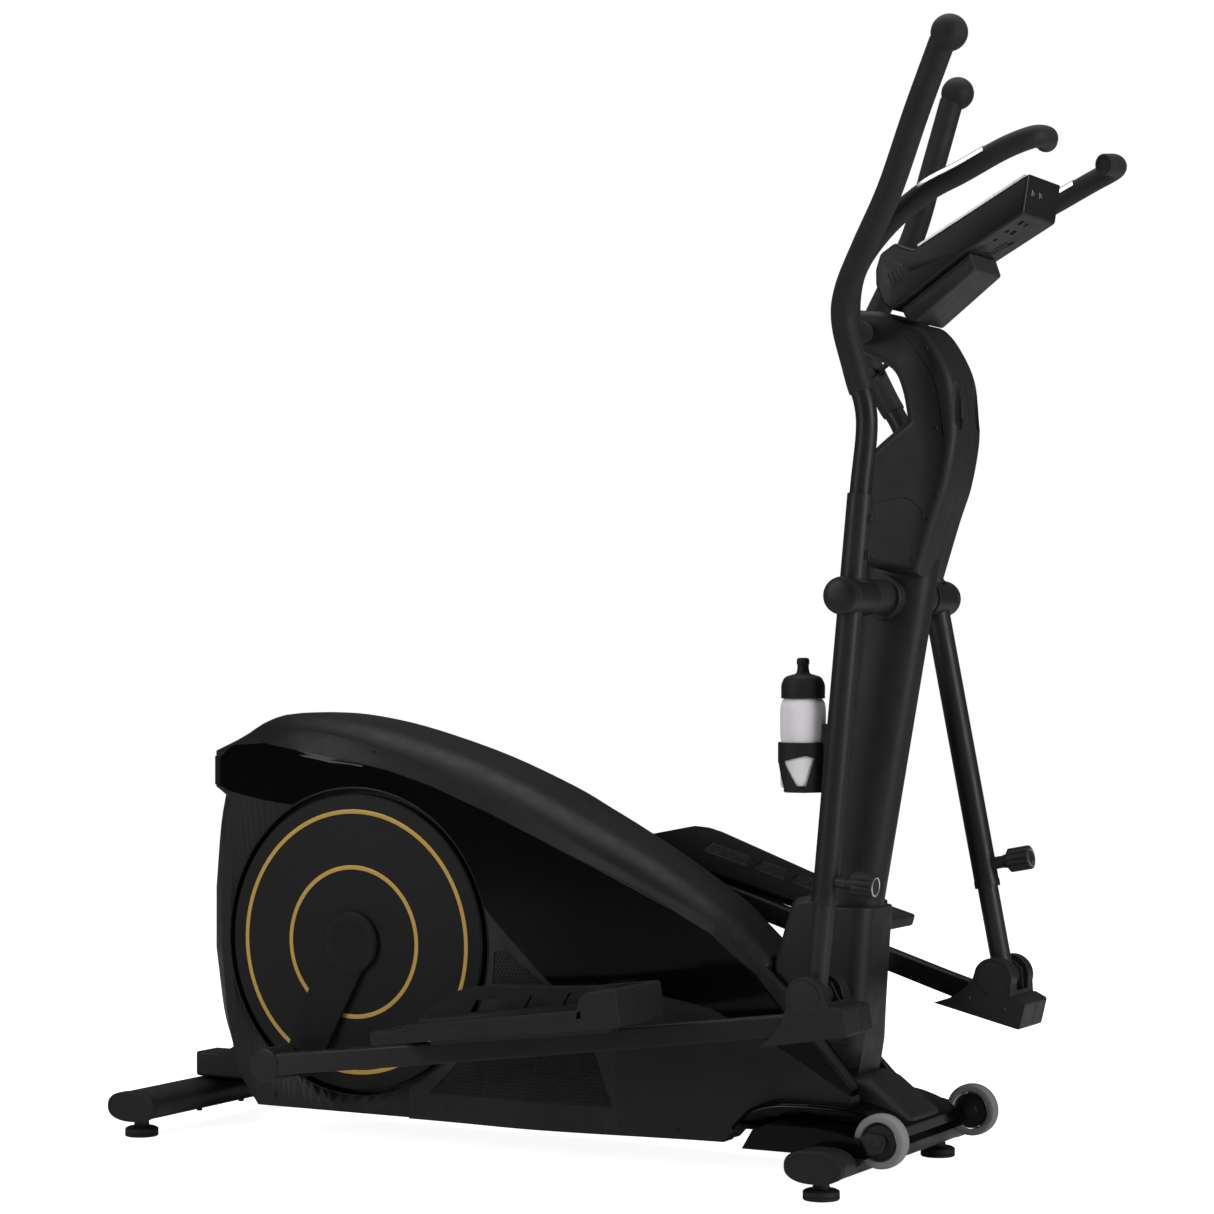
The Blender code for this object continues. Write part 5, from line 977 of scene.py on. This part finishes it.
beam = soften(made("centre_beam", block((-0.385, -0.030, 0.0738), (0.880, 0.030, 0.1138))), 0.004, 4)
put(beam, PAINT, "frame", "base_beam")
for place, x in (("rear", -0.355), ("front", 0.862)):
    pieces = [loft([oval(*OVAL, x, y) for y in (-0.235, 0.235)])]
    for sign in (-1, 1):
        boss = [(0.0079, TUBE_Z - 0.030), (0.0120, TUBE_Z - 0.030), (0.0120, TUBE_Z - 0.018), (0.0079, TUBE_Z - 0.018)]
        pieces.append(turned(boss, 32, "Z", (x, sign * 0.2184, 0)))
        pieces.append(turned([(0, 0.026), (0.0052, 0.026), (0.0052, 0.0205), (0.0044, 0.0198), (0, 0.0198)], 6, "Z", (x, sign * 0.060, 0)))
    if place == "front":
        for sign in (-1, 1):
            outline = [(0.874, 0.045), (0.900, 0.040), (0.912, 0.050), (0.925, 0.064), (0.946, 0.070), (0.951, 0.0835), (0.946, 0.094), (0.925, 0.096), (0.874, 0.068)]
            pieces.append(prism(outline, sign * 0.1895, sign * 0.1935))
            bolt = [(0, 0.1590), (0.0050, 0.1590), (0.0050, 0.1935), (0.0098, 0.1936), (0.0098, 0.1950), (0.0078, 0.1954), (0.0072, 0.1970), (0, 0.1970)]
            pieces.append(turned([(r, sign * h) for r, h in bolt], 32, "Y", (0.938, 0, 0.0835)))
    put(made(place + "_cross_tube", merge(pieces)), PAINT, "frame", place + "_stabilizer")
    for side, sign in SIDES.items():
        rings = []
        for y, grow in ((0.2353, 0.0002), (0.2356, 0.0010), (0.2480, 0.0010), (0.2500, 0.0002), (0.2509, -0.0014), (0.2509, -0.0040), (0.2500, -0.0048), (0.2492, -0.0062), (0.2492, -0.0100), (0.2494, -0.0150)):
            rings.append(oval(OVAL[0] + grow, OVAL[1] + grow, x, sign * y))
        put(made(f"{side}_{place}_tube_cap", loft(rings)), RUBBER, "frame", f"{side}_{place}_end_cap")
        foot = [(0, 0), (0.0255, 0), (0.0270, 0.0015), (0.0270, 0.0048), (0.0262, 0.0055), (0.0270, 0.0062), (0.0270, 0.0115), (0.0262, 0.0130), (0.0225, 0.0150)]
        foot += [(0.0130, 0.0160), (0.0125, 0.0162), (0.0125, 0.0200), (0.0118, 0.0206)]
        for k in range(3):
            foot += [(0.0080, 0.0208 + k * 0.0017), (0.0074, 0.0216 + k * 0.0017)]
        foot += [(0.0078, 0.0259), (0, 0.0261)]
        put(made(f"{side}_{place}_pad", turned(foot, 64, "Z", (x, sign * 0.2184, 0), closed=False)), RUBBER, f"{side}_{place}_foot", f"{side}_{place}_foot")
saddle = [(-0.361, 0.095), (-0.355, 0.101), (-0.310, 0.118), (-0.270, 0.141), (-0.262, 0.145), (-0.225, 0.145), (-0.225, 0.078), (-0.361, 0.078)]
put(soften(made("rear_saddle", prism(saddle, -0.062, 0.062)), 0.007, 4, 20), MATTE, "frame", "rear_saddle_cover")

fender_line = [(0.668, 0.0755, 0), (0.676, 0.0850, 0), (0.700, 0.1065, 0), (0.735, 0.1185, 0), (0.780, 0.1215, 0), (0.830, 0.1215, 0), (0.870, 0.1190, 0), (0.905, 0.1090, 0), (0.930, 0.0965, 0), (0.935, 0.0900, 0), (0.935, 0.0755, 0)]
fender_line = [(p.x, p.y) for p in smooth_run(fender_line, {0, 10}, 4)]
rings = []
for y, trim in ((-0.1280, 0.0085), (-0.1268, 0.0048), (-0.1240, 0.0020), (-0.1190, 0.0), (-0.060, 0.0), (0.060, 0.0), (0.1190, 0.0), (0.1240, 0.0020), (0.1268, 0.0048), (0.1280, 0.0085)):
    rings.append([Vector((x, y, z)) for x, z in inset(fender_line, trim)])
fender = made("front_fender", loft(rings), MACHINE, 35)
arch = [(0.725, 0.060), (0.742, 0.0885), (0.765, 0.0985), (0.840, 0.0985), (0.880, 0.0940), (0.912, 0.0860), (0.925, 0.060)]
carve(fender, machine_prism(arch, -0.20, 0.20), folded=True)
put(fender, GLOSS, "frame", "front_base_cover")
wedge_line = [(0.700, 0.1140), (0.738, 0.1240), (0.800, 0.1500), (0.845, 0.1575), (0.858, 0.1560), (0.872, 0.1500), (0.906, 0.1240), (0.933, 0.1010), (0.933, 0.0900), (0.700, 0.0900)]
wedge_rings = []
for y, trim in ((-0.0600, 0.016), (-0.0560, 0.009), (-0.0500, 0.004), (-0.0400, 0.0), (0.0400, 0.0), (0.0500, 0.004), (0.0560, 0.009), (0.0600, 0.016)):
    wedge_rings.append([Vector((x, y, z - (trim * 0.5 if z > 0.11 else 0))) for x, z in inset(wedge_line, trim * 0.3)])
put(soften(made("mast_foot_wedge", loft(wedge_rings), MACHINE, 25), 0.0025, 3, 25), SATIN)

# ---- transport wheels ---------------------------------------------------------------------------------------
for side, sign in SIDES.items():
    centre = (0.938, sign * 0.175, 0.0835)
    tyre = [(0.0285, -0.0110), (0.0300, -0.0122), (0.0350, -0.0125), (0.0378, -0.0115), (0.0393, -0.0090), (0.0399, -0.0040), (0.0400, 0.0)]
    tyre += [(r, -h) for r, h in reversed(tyre[:-1])]
    put(made(side + "_wheel_tyre", turned(tyre, 80, "Y", centre)), TYRE, side + "_wheel", side + "_transport_wheel")
    rim = [(0.0272, -0.0112), (0.0284, -0.0124), (0.0289, -0.0116), (0.0289, 0.0116), (0.0284, 0.0124), (0.0272, 0.0112)]
    put(made(side + "_wheel_rim", turned(rim, 72, "Y", centre)), STEEL, side + "_wheel")
    hub = [(0.0056, -0.0118), (0.0100, -0.0118), (0.0110, -0.0100), (0.0240, -0.0090), (0.0264, -0.0110), (0.0264, 0.0110), (0.0240, 0.0090), (0.0110, 0.0100), (0.0100, 0.0118), (0.0056, 0.0118)]
    put(made(side + "_wheel_hub", turned(hub, 72, "Y", centre)), MATTE, side + "_wheel")


# ---- floor, light and camera ------------------------------------------------------------------------
ground = bpy.data.meshes.new("floor")
ground.from_pydata([(-14, -14, -0.0005), (14, -14, -0.0005), (14, 14, -0.0005), (-14, 14, -0.0005)], [], [(0, 1, 2, 3)])
floor = bpy.data.objects.new("floor", ground)
bpy.context.scene.collection.objects.link(floor)
paper = material("studio_floor", (0.86, 0.86, 0.86), 0.60, grain=0.02, grain_size=60, mottle=0.004)
paper.node_tree.nodes["Principled BSDF"].inputs["Emission Color"].default_value = (1, 1, 1, 1)
seen = paper.node_tree.nodes.new("ShaderNodeLightPath")
glow = paper.node_tree.nodes.new("ShaderNodeMath")
glow.operation = "MULTIPLY"
glow.inputs[1].default_value = 0.93
paper.node_tree.links.new(seen.outputs["Is Camera Ray"], glow.inputs[0])
paper.node_tree.links.new(glow.outputs[0], paper.node_tree.nodes["Principled BSDF"].inputs["Emission Strength"])
ground.materials.append(paper)

world = bpy.data.worlds.new("studio")
bpy.context.scene.world = world
world.use_nodes = True
tree = world.node_tree
backdrop = tree.nodes["Background"]
backdrop.inputs["Color"].default_value = (1, 1, 1, 1)
backdrop.inputs["Strength"].default_value = 1.0
fill = tree.nodes.new("ShaderNodeBackground")
fill.inputs["Color"].default_value = (1, 1, 1, 1)
fill.inputs["Strength"].default_value = 0.08
choice = tree.nodes.new("ShaderNodeMixShader")
path_kind = tree.nodes.new("ShaderNodeLightPath")
tree.links.new(path_kind.outputs["Is Camera Ray"], choice.inputs[0])
tree.links.new(fill.outputs[0], choice.inputs[1])
tree.links.new(backdrop.outputs[0], choice.inputs[2])
tree.links.new(choice.outputs[0], tree.nodes["World Output"].inputs["Surface"])


def area_light(name, place, target, size, power):
    light = bpy.data.lights.new(name, "AREA")
    light.shape = "RECTANGLE"
    light.size, light.size_y = size
    light.energy = power
    obj = bpy.data.objects.new(name, light)
    obj.location = place
    obj.rotation_mode = "QUATERNION"
    obj.rotation_quaternion = (Vector(target) - Vector(place)).to_track_quat("-Z", "Y")
    bpy.context.scene.collection.objects.link(obj)


area_light("key_left", (-2.6, -4.2, 2.6), (0, 0, 0.7), (1.3, 2.6), 105)
area_light("side_right", (4.2, -0.6, 1.7), (0.3, 0, 0.9), (1.0, 2.8), 110)
area_light("top", (0.0, 0.4, 4.4), (0, 0, 0), (4.5, 3.5), 110)

camera = bpy.data.cameras.new("camera")
camera.lens = 91.84
camera.sensor_width = 36.0
camera.clip_start, camera.clip_end = 0.05, 80.0
viewer = bpy.data.objects.new("camera", camera)
bpy.context.scene.collection.objects.link(viewer)
around, pitch = math.radians(28.6138), math.radians(0.6776)
viewer.location = (2.3388, -4.2999, 0.8023)
look = Vector((-math.sin(around) * math.cos(pitch), math.cos(around) * math.cos(pitch), math.sin(pitch)))
viewer.rotation_mode = "QUATERNION"
viewer.rotation_quaternion = look.to_track_quat("-Z", "Y")
bpy.context.scene.camera = viewer
bpy.context.scene.view_settings.view_transform = "Standard"
